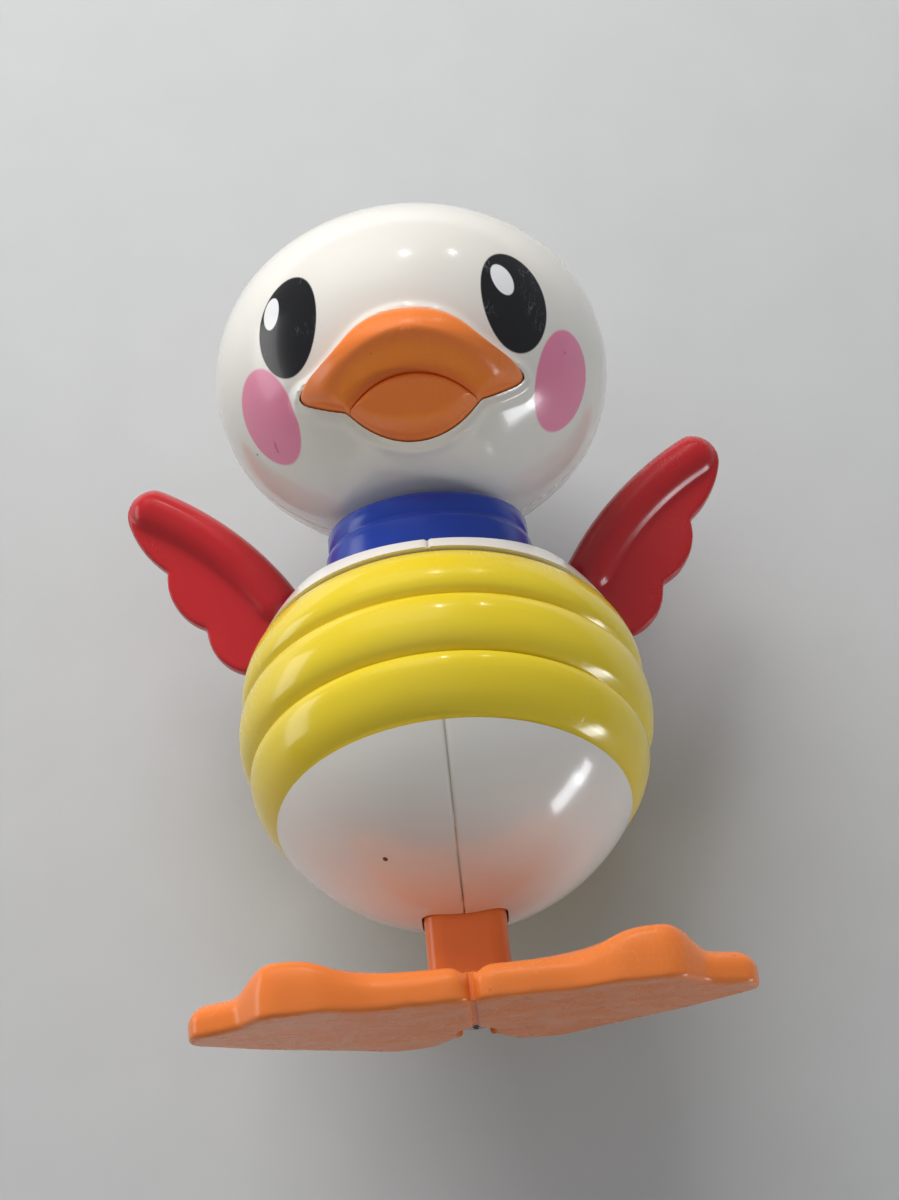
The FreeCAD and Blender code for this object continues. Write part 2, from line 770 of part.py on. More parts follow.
# ---- motor ----
def gear(teeth, addendum, dedendum, phase_degrees, centre_x, centre_z, low_y, high_y, bore):
    """A spur gear on an axle along Y, with involute flanks of 20 degrees."""
    pitch_r = module * teeth / 2
    base_r = pitch_r * math.cos(math.radians(20))
    tip_r = pitch_r + addendum
    root_r = pitch_r - dedendum
    half_pitch = math.pi / teeth / 2 - tooth_slack / 2 / pitch_r

    def roll(radius):
        if radius <= base_r:
            return 0.0
        angle = math.acos(base_r / radius)
        return math.tan(angle) - angle

    def point(radius, angle):
        return Vector(centre_x + radius * math.cos(angle), low_y, centre_z + radius * math.sin(angle))

    flank = [root_r, max(base_r, root_r), pitch_r, (pitch_r + tip_r) / 2, tip_r]
    if base_r <= root_r:
        flank = flank[1:]
    half = [half_pitch + roll(pitch_r) - roll(r) for r in flank]
    edges = []
    first = None
    last = None
    for n in range(teeth):
        middle = math.radians(phase_degrees) + 2 * math.pi * n / teeth
        up = [point(r, middle - a) for r, a in zip(flank, half)]
        down = [point(r, middle + a) for r, a in zip(flank, half)][::-1]
        if last is not None:
            edges.append(line(last, up[0]))
        first = first or up[0]
        edges += [line(a, b) for a, b in zip(up, up[1:])]
        edges.append(line(up[-1], down[0]))
        edges += [line(a, b) for a, b in zip(down, down[1:])]
        last = down[-1]
    edges.append(line(last, first))
    blank = Part.Face(Part.Wire(edges)).extrude(Y * (high_y - low_y))
    return blank.cut(rod(bore, Vector(centre_x, low_y - 1, centre_z), Y, high_y - low_y + 2))


def direction_degrees(x0, z0, x1, z1):
    return math.degrees(math.atan2(z1 - z0, x1 - x0))


def great_wheel():
    """The wheel that the mainspring drives, with the pawl's post on its front."""
    toward = direction_degrees(0, arbor_z, second_x, second_z)
    wheel = gear(wheel_teeth, 0.6 * module, 1.25 * module, toward, 0, arbor_z,
                 wheel_y, wheel_y + 2.0, arbor_radius + run_gap)
    post = rod(0.8, Vector(pawl_x, ratchet_y, arbor_z), Y, wheel_y - ratchet_y + 0.5)
    return wheel.fuse(post).removeSplitter()




def intermediate_gear():
    """A small pinion and a large wheel in one moulding, on the second axle."""
    from_wheel = direction_degrees(0, arbor_z, second_x, second_z)
    pinion = gear(pinion_teeth, module, module, from_wheel + 180 + 180 / pinion_teeth, second_x, second_z,
                  wheel_y - 0.1, second_y, axle_radius + run_gap)
    toward = direction_degrees(second_x, second_z, 0, crank_z)
    wheel = gear(second_teeth, 0.6 * module, 1.25 * module, toward, second_x, second_z,
                 second_y, second_y + 1.8, axle_radius + run_gap)
    return pinion.fuse(wheel)


def crank_pinion():
    from_wheel = direction_degrees(second_x, second_z, 0, crank_z)
    return gear(pinion_teeth, module, module, from_wheel + 180 + 180 / pinion_teeth, 0, crank_z,
                second_y - 0.2, second_y + 2.2, crank_shaft_radius + press_gap)


def crank_shaft():
    """The shaft, and on its front end a disc with the pin that moves the carriage."""
    disc_y = plate_front_y - 0.4 - 1.6
    start = Vector(0, disc_y, crank_z)
    shaft = rod(crank_shaft_radius, start, Y, plate_back_y + plate_thickness + 0.6 - disc_y)
    disc = rod(crank_disc_radius, start, Y, 1.6)
    pin = rod(crank_pin_radius, Vector(crank_throw, yoke_y - 0.6, crank_z), Y, disc_y - yoke_y + 1.0)
    return shaft.fuse(disc).fuse(pin).removeSplitter()


def intermediate_axle():
    start = Vector(second_x, plate_front_y, second_z)
    return rod(axle_radius, start, Y, plate_back_y + plate_thickness - plate_front_y)


def winding_arbor():
    """The main shaft: thin in the front plate, thick inside the spring, and out through the back."""
    front = Vector(0, plate_front_y - 0.3, arbor_z)
    thin = rod(1.2, front, Y, ratchet_y - front.y)
    back_end = body_radius + key_gap + key_hub_length - 1.5
    main = rod(arbor_radius, Vector(0, ratchet_y, arbor_z), Y, back_end - ratchet_y)
    drum = rod(mainspring_inner - 0.3, Vector(0, mainspring_y, arbor_z), Y, mainspring_width)
    return thin.fuse(main).fuse(drum).removeSplitter()


def ratchet_wheel():
    """Saw teeth that let the arbor turn one way past the pawl."""
    points = []
    for n in range(ratchet_teeth):
        angle = math.radians(180 + 360 * n / ratchet_teeth)
        following = math.radians(180 + 360 * (n + 1) / ratchet_teeth - 1)
        for radius, a in ((ratchet_root, angle), (ratchet_radius, following)):
            points.append(Vector(radius * math.cos(a), ratchet_y, arbor_z + radius * math.sin(a)))
    wheel = extrude(polygon(points), Y * 1.4)
    return wheel.cut(rod(arbor_radius + press_gap, Vector(0, ratchet_y - 1, arbor_z), Y, 4.0))


def click_pawl():
    """A sprung finger on the great wheel that drops behind each saw tooth."""
    def at(x, z):
        return Vector(x, ratchet_y + 0.1, arbor_z + z)

    finger = extrude([
        line(at(pawl_x - 1.5, -0.6), at(-3.95, -1.6)),
        line(at(-3.95, -1.6), at(-3.45, -0.9)),
        line(at(-3.45, -0.9), at(-3.95, 0.2)),
        line(at(-3.95, 0.2), at(pawl_x - 1.5, 1.4)),
        line(at(pawl_x - 1.5, 1.4), at(pawl_x - 1.5, -0.6)),
    ], Y * 1.2)
    eye = rod(1.5, at(pawl_x, 0.4 - 0.4), Y, 1.2)
    shape = finger.fuse(eye)
    return shape.cut(rod(0.8 + run_gap, at(pawl_x, 0) - Y, Y, 4.0)).removeSplitter()


def mainspring():
    """A flat steel strip wound in half circles about two centres, from the arbor to an eye on a pillar."""
    step = (mainspring_outer - mainspring_inner) / (2 * mainspring_turns)

    def coil(offset):
        edges = []
        for n in range(2 * mainspring_turns):
            radius = mainspring_inner + step * (n + 0.5) + offset
            centre = step if n % 2 else 0.0
            sign = -1 if n % 2 else 1
            left = Vector(centre - radius, mainspring_y, arbor_z)
            right = Vector(centre + radius, mainspring_y, arbor_z)
            crown = Vector(centre, mainspring_y, arbor_z + sign * radius)
            edges.append((right, crown, left) if sign > 0 else (left, crown, right))
        return edges

    inside = coil(0.0)
    outside = coil(spring_strip)
    edges = [arc(*e) for e in inside + outside]
    edges.append(line(inside[0][0], outside[0][0]))
    edges.append(line(inside[-1][2], outside[-1][2]))
    spring = extrude(edges, Y * mainspring_width)
    # a tab against the arbor's drum at the inner end
    tab = block(
        (mainspring_inner - 0.3 + press_gap, mainspring_y, arbor_z - spring_strip / 2),
        (inside[0][0].x + spring_strip / 2, mainspring_y + mainspring_width, arbor_z + spring_strip / 2))
    # the outer end runs up to a pillar and goes round it
    eye_x, eye_z = pillars[1]
    eye_radius = pillar_radius + part_gap
    eye_start = Vector(eye_x, mainspring_y, eye_z)
    eye = rod(eye_radius + spring_strip, eye_start, Y, mainspring_width)
    side_x = eye_x - eye_radius - spring_strip
    tail = extrude(polygon([
        inside[-1][2],
        outside[-1][2],
        Vector(side_x + spring_strip, mainspring_y, eye_z),
        Vector(side_x, mainspring_y, eye_z),
    ]), Y * mainspring_width)
    spring = spring.fuse(tab).fuse(tail).fuse(eye)
    return spring.cut(rod(eye_radius, eye_start - Y, Y, mainspring_width + 2)).removeSplitter()


def motor_plate(y):
    plate = block((plate_left, y, plate_low), (plate_right, y + plate_thickness, plate_high))
    upright = [e for e in plate.Edges if abs(e.tangentAt(e.FirstParameter).y) > 0.99]
    plate = plate.makeFillet(2.0, upright)
    holes = [(0, arbor_z, (1.2 if y < 0 else arbor_radius) + run_gap)]
    holes.append((second_x, second_z, axle_radius + press_gap))
    holes.append((0, crank_z, crank_shaft_radius + run_gap))
    holes += [(x, z, pillar_radius * 0.7 + press_gap) for x, z in pillars]
    for x, z, radius in holes:
        plate = plate.cut(rod(radius, Vector(x, y - 1, z), Y, plate_thickness + 2))
    return plate


def motor_pillars():
    """Posts between the plates, each with a thinner end riveted into either plate."""
    posts = []
    inner = plate_front_y + plate_thickness
    for x, z in pillars:
        post = rod(pillar_radius, Vector(x, inner, z), Y, plate_back_y - inner)
        whole = plate_back_y + plate_thickness - plate_front_y + 0.6
        ends = rod(pillar_radius * 0.7, Vector(x, plate_front_y - 0.3, z), Y, whole)
        posts.append(post.fuse(ends).removeSplitter())
    return Part.makeCompound(posts)


def winding_key():
    """A hub on the arbor's end and a grip with two round ears."""
    start = Vector(0, body_radius + key_gap, arbor_z)
    hub = rod(key_hub_radius, start, Y, key_hub_length)
    grip_y = start.y + key_hub_length - 1.0
    low = arbor_z - key_thickness / 2
    ear = key_depth / 2
    bar = block((ear - key_half_width, grip_y, low), (key_half_width - ear, grip_y + key_depth, low + key_thickness))
    shape = hub.fuse(bar)
    for sign in (-1, 1):
        centre = Vector(sign * (key_half_width - ear), grip_y + ear, low)
        shape = shape.fuse(rod(ear, centre, Z, key_thickness))
    shape = shape.cut(rod(arbor_radius + press_gap, start - Y, Y, key_hub_length - 0.4))
    return shape.removeSplitter()


def main():
    os.makedirs("parts", exist_ok=True)
    save("body_left_shell", body_shell(1))
    save("body_right_shell", body_shell(-1))
    save("ribbed_band", ribbed_band())
    save("body_screws", body_screws())
    save("neck_collar", neck_collar())
    head_front, head_rear = head_shells()
    save("head_front_shell", head_front)
    save("head_rear_shell", head_rear)
    upper, lower = beaks()
    save("upper_beak", upper)
    save("lower_beak", lower)
    left = wing()
    save("left_wing", left)
    save("right_wing", mirrored(left))
    save("left_wing_pin", wing_pin(1))
    save("right_wing_pin", wing_pin(-1))
    save("feet", feet())
    save("leg_stem", leg_stem())
    save("foot_screw", foot_screw())
    save("leg_guide", leg_guide())
    save("return_spring", return_spring())
    save("leg_carriage", leg_carriage())
    save("carriage_screw", carriage_screw())
    save("motor_front_plate", motor_plate(plate_front_y))
    save("motor_rear_plate", motor_plate(plate_back_y))
    save("motor_pillars", motor_pillars())
    save("great_wheel", great_wheel())
    save("intermediate_gear", intermediate_gear())
    save("intermediate_axle", intermediate_axle())
    save("crank_pinion", crank_pinion())
    save("crank_shaft", crank_shaft())
    save("winding_arbor", winding_arbor())
    save("ratchet_wheel", ratchet_wheel())
    save("click_pawl", click_pawl())
    save("mainspring", mainspring())
    save("winding_key", winding_key())


main()
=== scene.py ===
import json
import math

import bmesh
import bpy
from mathutils import Matrix, Vector


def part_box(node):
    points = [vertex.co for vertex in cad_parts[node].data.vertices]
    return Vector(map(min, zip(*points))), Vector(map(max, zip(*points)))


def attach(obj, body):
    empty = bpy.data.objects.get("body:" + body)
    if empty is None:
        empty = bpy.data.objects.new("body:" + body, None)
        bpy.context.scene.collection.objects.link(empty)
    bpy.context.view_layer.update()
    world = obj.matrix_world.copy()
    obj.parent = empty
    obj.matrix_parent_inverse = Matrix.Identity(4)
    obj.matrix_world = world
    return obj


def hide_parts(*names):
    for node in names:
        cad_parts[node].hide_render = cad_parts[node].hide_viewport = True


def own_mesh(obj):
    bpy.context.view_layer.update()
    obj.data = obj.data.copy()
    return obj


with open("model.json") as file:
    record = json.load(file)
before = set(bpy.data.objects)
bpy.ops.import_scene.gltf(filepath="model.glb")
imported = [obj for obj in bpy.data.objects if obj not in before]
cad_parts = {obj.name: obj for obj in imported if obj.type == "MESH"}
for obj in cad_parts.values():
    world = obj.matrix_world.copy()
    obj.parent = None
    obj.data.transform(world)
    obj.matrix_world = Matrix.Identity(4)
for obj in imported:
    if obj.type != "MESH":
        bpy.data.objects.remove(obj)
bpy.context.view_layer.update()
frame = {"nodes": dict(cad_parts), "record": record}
nodes = frame["nodes"]
print("frame loaded")

# All the shapes below are drawn in millimetres and shrunk to metres when they are finished.
millimetre = 0.001
bodyCentre = Vector((0, 0, 54.5))
headCentre = Vector((0, 0, 123.3))


def cornerArc(start, middle, end, count):
    # count + 1 points on the circle through three (x, z) points
    ax, az = start
    bx, bz = middle
    cx, cz = end
    d = 2 * (ax * (bz - cz) + bx * (cz - az) + cx * (az - bz))
    aa, bb, cc = (x * x + z * z for x, z in (start, middle, end))
    ux = (aa * (bz - cz) + bb * (cz - az) + cc * (az - bz)) / d
    uz = (aa * (cx - bx) + bb * (ax - cx) + cc * (bx - ax)) / d
    radius = math.hypot(ax - ux, az - uz)
    a0 = math.atan2(az - uz, ax - ux)
    am = math.atan2(bz - uz, bx - ux)
    a1 = math.atan2(cz - uz, cx - ux)
    full = 2 * math.pi
    span = (a1 - a0) % full
    if (am - a0) % full > span:
        span -= full
    return [(ux + radius * math.cos(a0 + span * i / count), uz + radius * math.sin(a0 + span * i / count))
            for i in range(count + 1)]


def roundedOutline(corners, count=6):
    # corners are (x, y, radius); each is rounded with a few short runs
    points = [Vector((x, y)) for x, y, r in corners]
    result = []
    for i, (x, y, radius) in enumerate(corners):
        here = points[i]
        if not radius:
            result.append(here)
            continue
        before = (points[i - 1] - here).normalized()
        after = (points[(i + 1) % len(points)] - here).normalized()
        half = before.angle(after) / 2
        start = here + before * (radius / math.tan(half))
        end = here + after * (radius / math.tan(half))
        middle = here + (before + after).normalized() * (radius / math.sin(half) - radius)
        result += [Vector(p) for p in cornerArc(tuple(start), tuple(middle), tuple(end), count)]
    return result


def evenly(points, count):
    # the same closed outline with count points at even distances
    closed = points + [points[0]]
    lengths = [0.0]
    for a, b in zip(closed, closed[1:]):
        lengths.append(lengths[-1] + (Vector(b) - Vector(a)).length)
    result = []
    k = 0
    for i in range(count):
        want = lengths[-1] * i / count
        while lengths[k + 1] < want:
            k += 1
        share = (want - lengths[k]) / max(lengths[k + 1] - lengths[k], 1e-9)
        result.append(Vector(closed[k]).lerp(Vector(closed[k + 1]), share))
    return result


def arc(radius, start, end, count):
    # count + 1 points on a circle about the origin, from one angle to another
    turns = [start + (end - start) * i / count for i in range(count + 1)]
    return [(radius * math.cos(a), radius * math.sin(a)) for a in turns]


def everything(bm):
    return bm.verts[:] + bm.edges[:] + bm.faces[:]


def openEdges(bm):
    return [e for e in bm.edges if e.is_boundary]


def cutFlat(bm, place, across, trim=True):
    # cuts along a plane and trims off what lies beyond, or only adds a line of edges there
    return bmesh.ops.bisect_plane(bm, geom=everything(bm), plane_co=place, plane_no=across,
                                  clear_outer=trim)["geom_cut"]


def spun(points, centre, axis, steps):
    # a full turn of a line of points
    bm = bmesh.new()
    verts = [bm.verts.new(p) for p in points]
    edges = [bm.edges.new(pair) for pair in zip(verts, verts[1:])]
    bmesh.ops.spin(bm, geom=verts + edges, cent=centre, axis=axis, angle=2 * math.pi, steps=steps,
                   use_merge=True)
    bmesh.ops.remove_doubles(bm, verts=bm.verts, dist=0.002)
    bmesh.ops.recalc_face_normals(bm, faces=bm.faces)
    return bm


def plate(points, low, high, axis="Z"):
    # a closed outline made solid between two heights; it lies flat, or stands upright for axis Y
    bm = bmesh.new()
    if axis == "Z":
        verts = [bm.verts.new((p[0], p[1], low)) for p in points]
        push = Vector((0, 0, high - low))
    else:
        verts = [bm.verts.new((p[0], low, p[1])) for p in points]
        push = Vector((0, high - low, 0))
    face = bm.faces.new(verts)
    more = bmesh.ops.extrude_face_region(bm, geom=[face])["geom"]
    bmesh.ops.translate(bm, verts=[g for g in more if isinstance(g, bmesh.types.BMVert)], vec=push)
    bmesh.ops.recalc_face_normals(bm, faces=bm.faces)
    return bm


def cylinder(radius, start, axis, length, segments=48):
    bm = bmesh.new()
    turn = Vector((0, 0, 1)).rotation_difference(Vector(axis)).to_matrix().to_4x4()
    place = Matrix.Translation(Vector(start) + Vector(axis) * length / 2) @ turn
    bmesh.ops.create_cone(bm, cap_ends=True, segments=segments, radius1=radius, radius2=radius,
                          depth=length, matrix=place)
    return bm


def egg(centre, sizes, segments=48):
    bm = bmesh.new()
    place = Matrix.Translation(Vector(centre)) @ Matrix.Diagonal((*sizes, 1))
    bmesh.ops.create_uvsphere(bm, u_segments=segments, v_segments=segments // 2, radius=1, matrix=place)
    return bm


def bevelled(bm, edges, amount, segments, clamp=True):
    bmesh.ops.bevel(bm, geom=edges, offset=amount, offset_type="OFFSET", segments=segments, profile=0.5,
                    affect="EDGES", material=-1, clamp_overlap=clamp)


def roundedBar(low, high, corner, segments=5):
    bm = bmesh.new()
    low, high = Vector(low), Vector(high)
    place = Matrix.Translation((low + high) / 2) @ Matrix.Diagonal((*(high - low), 1))
    bmesh.ops.create_cube(bm, size=1, matrix=place)
    if corner:
        bevelled(bm, bm.edges[:], corner, segments, clamp=False)
    return bm


def soften(bm, amount, segments=3, sharper=25):
    # rounds the edges where two faces meet at more than an angle
    edges = [e for e in bm.edges if len(e.link_faces) == 2 and e.calc_face_angle(0) > math.radians(sharper)]
    bevelled(bm, edges, amount, segments)


def newObject(bm, name):
    mesh = bpy.data.meshes.new(name)
    bm.to_mesh(mesh)
    bm.free()
    obj = bpy.data.objects.new(name, mesh)
    bpy.context.scene.collection.objects.link(obj)
    return obj


def evaluated(obj):
    # the object's mesh with its modifiers applied; the object is thrown away
    deps = bpy.context.evaluated_depsgraph_get()
    bm = bmesh.new()
    bm.from_object(obj, deps)
    mesh = obj.data
    bpy.data.objects.remove(obj)
    bpy.data.meshes.remove(mesh)
    return bm


def thickened(bm, wall):
    obj = newObject(bm, "shell")
    skin = obj.modifiers.new("wall", "SOLIDIFY")
    skin.thickness = wall
    skin.offset = -1
    return evaluated(obj)


def carved(bm, cutters):
    # takes each cutter away from the piece
    for cutter in cutters:
        obj = newObject(bm, "host")
        tool = newObject(cutter, "tool")
        cut = obj.modifiers.new("cut", "BOOLEAN")
        cut.operation = "DIFFERENCE"
        cut.solver = "MANIFOLD"
        cut.object = tool
        bm = evaluated(obj)
        mesh = tool.data
        bpy.data.objects.remove(tool)
        bpy.data.meshes.remove(mesh)
    return bm


def joined(parts):
    whole = bmesh.new()
    for part in parts:
        mesh = bpy.data.meshes.new("part")
        part.to_mesh(mesh)
        part.free()
        whole.from_mesh(mesh)
        bpy.data.meshes.remove(mesh)
    return whole


def mirrored(bm):
    bmesh.ops.scale(bm, vec=(-1, 1, 1), verts=bm.verts)
    bmesh.ops.reverse_faces(bm, faces=bm.faces)
    return bm


def melted(parts, voxel, passes):
    # several closed forms run together into one moulding with soft inner corners
    obj = newObject(joined(parts), "melt")
    remesh = obj.modifiers.new("melt", "REMESH")
    remesh.mode = "VOXEL"
    remesh.voxel_size = voxel
    bm = evaluated(obj)
    for i in range(passes):
        bmesh.ops.smooth_vert(bm, verts=bm.verts, factor=0.5, use_axis_x=True, use_axis_y=True,
                              use_axis_z=True)
    return bm


def finishPiece(bm, name, body, replaced, material, sharpAngle=35):
    bmesh.ops.scale(bm, vec=(millimetre,) * 3, verts=bm.verts)
    obj = newObject(bm, name)
    mesh = obj.data
    mesh.polygons.foreach_set("use_smooth", [True] * len(mesh.polygons))
    mesh.set_sharp_from_angle(angle=math.radians(sharpAngle))
    mesh.materials.append(material)
    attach(obj, body)
    if replaced:
        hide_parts(*replaced)
    print("made", name, len(mesh.polygons))
    return obj


def smoothStep(t):
    t = max(0.0, min(1.0, t))
    return t * t * (3 - 2 * t)


def addNode(tree, kind, x, y, **values):
    node = tree.nodes.new(kind)
    node.location = (x, y)
    for key, value in values.items():
        setattr(node, key, value)
    return node


def mathNode(tree, operation, a, b=None, c=None, clamp=False):
    node = tree.nodes.new("ShaderNodeMath")
    node.operation = operation
    node.use_clamp = clamp
    for i, value in enumerate((a, b, c)):
        if value is None:
            continue
        if isinstance(value, (int, float)):
            node.inputs[i].default_value = value
        else:
            tree.links.new(value, node.inputs[i])
    return node.outputs[0]


def times(tree, a, b, clamp=False):
    return mathNode(tree, "MULTIPLY", a, b, clamp=clamp)


def plus(tree, a, b):
    return mathNode(tree, "ADD", a, b)


def minus(tree, a, b, clamp=False):
    return mathNode(tree, "SUBTRACT", a, b, clamp=clamp)


def larger(tree, a, b, clamp=False):
    return mathNode(tree, "MAXIMUM", a, b, clamp=clamp)


def thinLine(tree, value, sharpness):
    # 1 where the value is half, falling off fast to both sides
    away = mathNode(tree, "ABSOLUTE", minus(tree, value, 0.5))
    return minus(tree, 1.0, times(tree, away, sharpness), clamp=True)


def fallOff(tree, distance, reach):
    # 1 at no distance, 0 at the reach
    return minus(tree, 1.0, mathNode(tree, "DIVIDE", distance, reach), clamp=True)


def noiseNode(tree, place, scale, detail=2, stretch=None, turn=(0, 0, 0)):
    if stretch:
        mapping = addNode(tree, "ShaderNodeMapping", -1000, 300)
        mapping.inputs["Scale"].default_value = stretch
        mapping.inputs["Rotation"].default_value = turn
        tree.links.new(place, mapping.inputs["Vector"])
        place = mapping.outputs[0]
    noise = addNode(tree, "ShaderNodeTexNoise", -800, 300)
    noise.inputs["Scale"].default_value = scale
    noise.inputs["Detail"].default_value = detail
    tree.links.new(place, noise.inputs["Vector"])
    return noise.outputs["Fac"]


def vectorNode(tree, operation, a, b):
    node = addNode(tree, "ShaderNodeVectorMath", -600, 600, operation=operation)
    for socket, value in zip(node.inputs, (a, b)):
        if isinstance(value, (tuple, Vector)):
            socket.default_value = value
        else:
            tree.links.new(value, socket)
    return node.outputs["Value"] if operation in ("DOT_PRODUCT", "DISTANCE") else node.outputs[0]


def tinted(tree, base, mask, tint):
    # the base colour, going over to the tint where the mask is 1
    mix = addNode(tree, "ShaderNodeMix", 100, 500, data_type="RGBA")
    for socket, value in ((mix.inputs[0], mask), (mix.inputs[6], base), (mix.inputs[7], tint)):
        if isinstance(value, tuple):
            socket.default_value = value
        else:
            tree.links.new(value, socket)
    return mix.outputs[2]


def objectPlace(tree):
    return addNode(tree, "ShaderNodeTexCoord", -1200, 400).outputs["Object"]


def axes(tree, place):
    parts = addNode(tree, "ShaderNodeSeparateXYZ", -600, 400)
    tree.links.new(place, parts.inputs[0])
    return parts.outputs[:3]


def makeMouldedGroup():
    # fine unevenness, hairline scratches, dull rubbed patches and specks that every moulded piece shows
    group = bpy.data.node_groups.new("mouldedSkin", "ShaderNodeTree")
    face = group.interface
    for name, kind, value in (
            ("Colour", "NodeSocketColor", (0.8, 0.8, 0.8, 1)),
            ("Worn Colour", "NodeSocketColor", (0.8, 0.8, 0.8, 1)),
            ("Smooth", "NodeSocketFloat", 0.15), ("Dull", "NodeSocketFloat", 0.4),
            ("Scratches", "NodeSocketFloat", 0.3), ("Patches", "NodeSocketFloat", 0.3),
            ("Waviness", "NodeSocketFloat", 0.1), ("Specks", "NodeSocketFloat", 0.1)):
        face.new_socket(name, in_out="INPUT", socket_type=kind).default_value = value
    face.new_socket("Colour", in_out="OUTPUT", socket_type="NodeSocketColor")
    face.new_socket("Roughness", in_out="OUTPUT", socket_type="NodeSocketFloat")
    face.new_socket("Height", in_out="OUTPUT", socket_type="NodeSocketFloat")
    give = addNode(group, "NodeGroupInput", -1200, 0).outputs
    take = addNode(group, "NodeGroupOutput", 900, 0).inputs
    link = group.links.new
    place = objectPlace(group)

    broad = noiseNode(group, place, 28)
    patchNoise = minus(group, noiseNode(group, place, 70, 5), 0.55, clamp=True)
    patch = mathNode(group, "SMOOTH_MIN", 1.0, times(group, patchNoise, 6.0), 0.1)
    # hairlines: noise drawn out thin in three directions, cut to narrow lines
    hairs = None
    for stretch, turn in (((1, 9, 1), (0.3, 0.5, 0.4)), ((1, 1, 8), (0.9, -0.4, 1.1)),
                          ((7, 1, 1), (0.2, 1.2, -0.6))):
        line = thinLine(group, noiseNode(group, place, 95, 3, stretch, turn), 130.0)
        hairs = line if hairs is None else larger(group, hairs, line)
    where = times(group, minus(group, noiseNode(group, place, 45), 0.50, clamp=True), 7.0, clamp=True)
    hairs = times(group, times(group, hairs, where), give["Scratches"])
    patches = times(group, patch, give["Patches"], clamp=True)
    cells = addNode(group, "ShaderNodeTexVoronoi", -800, -300)
    cells.inputs["Scale"].default_value = 130
    link(place, cells.inputs["Vector"])
    speck = mathNode(group, "LESS_THAN", cells.outputs["Distance"], 0.040)
    some = mathNode(group, "GREATER_THAN", noiseNode(group, place, 33, 1), 0.60)
    specks = times(group, times(group, speck, some), give["Specks"])

    colour = tinted(group, give["Colour"], times(group, broad, 0.35), give["Worn Colour"])
    rubbed = larger(group, times(group, hairs, 0.7), times(group, patches, 0.5), clamp=True)
    colour = tinted(group, colour, rubbed, give["Worn Colour"])
    link(tinted(group, colour, specks, (0.05, 0.04, 0.035, 1)), take["Colour"])

    wear = larger(group, hairs, patches, clamp=True)
    span = minus(group, give["Dull"], give["Smooth"])
    rough = mathNode(group, "MULTIPLY_ADD", span, wear, give["Smooth"])
    link(plus(group, rough, times(group, broad, 0.05)), take["Roughness"])

    wavy = times(group, noiseNode(group, place, 60), give["Waviness"])
    link(minus(group, wavy, times(group, hairs, 0.25)), take["Height"])
    return group


def mouldedMaterial(name, look, extra=None):
    # extra may change the colour, gloss and height before they reach the surface
    material = bpy.data.materials.new(name)
    material.use_nodes = True
    tree = material.node_tree
    tree.nodes.clear()
    out = addNode(tree, "ShaderNodeOutputMaterial", 900, 0)
    shader = addNode(tree, "ShaderNodeBsdfPrincipled", 600, 0)
    skin = addNode(tree, "ShaderNodeGroup", 0, 0)
    skin.node_tree = mouldedGroup
    for key in ("Colour", "Worn Colour", "Smooth", "Dull", "Scratches", "Patches", "Waviness", "Specks"):
        if key in look:
            skin.inputs[key].default_value = look[key]
    colour, rough, height = skin.outputs["Colour"], skin.outputs["Roughness"], skin.outputs["Height"]
    if extra:
        colour, rough, height = extra(tree, colour, rough, height)
    bump = addNode(tree, "ShaderNodeBump", 350, -250)
    bump.inputs["Strength"].default_value = look.get("bump", 0.12)
    bump.inputs["Distance"].default_value = 0.0004
    tree.links.new(height, bump.inputs["Height"])
    tree.links.new(colour, shader.inputs["Base Color"])
    tree.links.new(rough, shader.inputs["Roughness"])
    tree.links.new(bump.outputs[0], shader.inputs["Normal"])
    shader.inputs["IOR"].default_value = look.get("ior", 1.5)
    shader.inputs["Metallic"].default_value = look.get("metallic", 0.0)
    shader.inputs["Coat Weight"].default_value = look.get("coat", 0.0)
    shader.inputs["Coat Roughness"].default_value = 0.06
    shader.inputs["Subsurface Weight"].default_value = look.get("glow", 0.0)
    shader.inputs["Subsurface Radius"].default_value = (0.004, 0.003, 0.002)
    shader.inputs["Subsurface Scale"].default_value = 0.5
    tree.links.new(shader.outputs[0], out.inputs[0])
    return material


mouldedGroup = makeMouldedGroup()

whiteLook = {
    "Colour": (0.80, 0.775, 0.725, 1), "Worn Colour": (0.74, 0.71, 0.65, 1), "Smooth": 0.13, "Dull": 0.34,
    "Scratches": 0.25, "Patches": 0.10, "Waviness": 0.5, "Specks": 0.5, "bump": 0.10, "coat": 0.25,
}
orangeLook = {
    "Colour": (0.86, 0.205, 0.032, 1), "Worn Colour": (0.88, 0.28, 0.08, 1), "Smooth": 0.22, "Dull": 0.46,
    "Scratches": 0.5, "Patches": 0.25, "Waviness": 0.7, "Specks": 0.25, "bump": 0.18,
}
yellowLook = {
    "Colour": (0.80, 0.60, 0.012, 1), "Worn Colour": (0.84, 0.68, 0.10, 1), "Smooth": 0.14, "Dull": 0.42,
    "Scratches": 0.7, "Patches": 0.18, "Waviness": 0.9, "Specks": 0.2, "bump": 0.15, "coat": 0.3,
}
redLook = {
    "Colour": (0.47, 0.012, 0.018, 1), "Worn Colour": (0.56, 0.05, 0.05, 1), "Smooth": 0.20, "Dull": 0.45,
    "Scratches": 0.6, "Patches": 0.25, "Waviness": 0.8, "Specks": 0.2, "bump": 0.15,
}
blueLook = {
    "Colour": (0.012, 0.042, 0.36, 1), "Worn Colour": (0.04, 0.10, 0.50, 1), "Smooth": 0.18, "Dull": 0.42,
    "Scratches": 0.5, "Patches": 0.2, "Waviness": 0.6, "Specks": 0.2, "bump": 0.12,
}
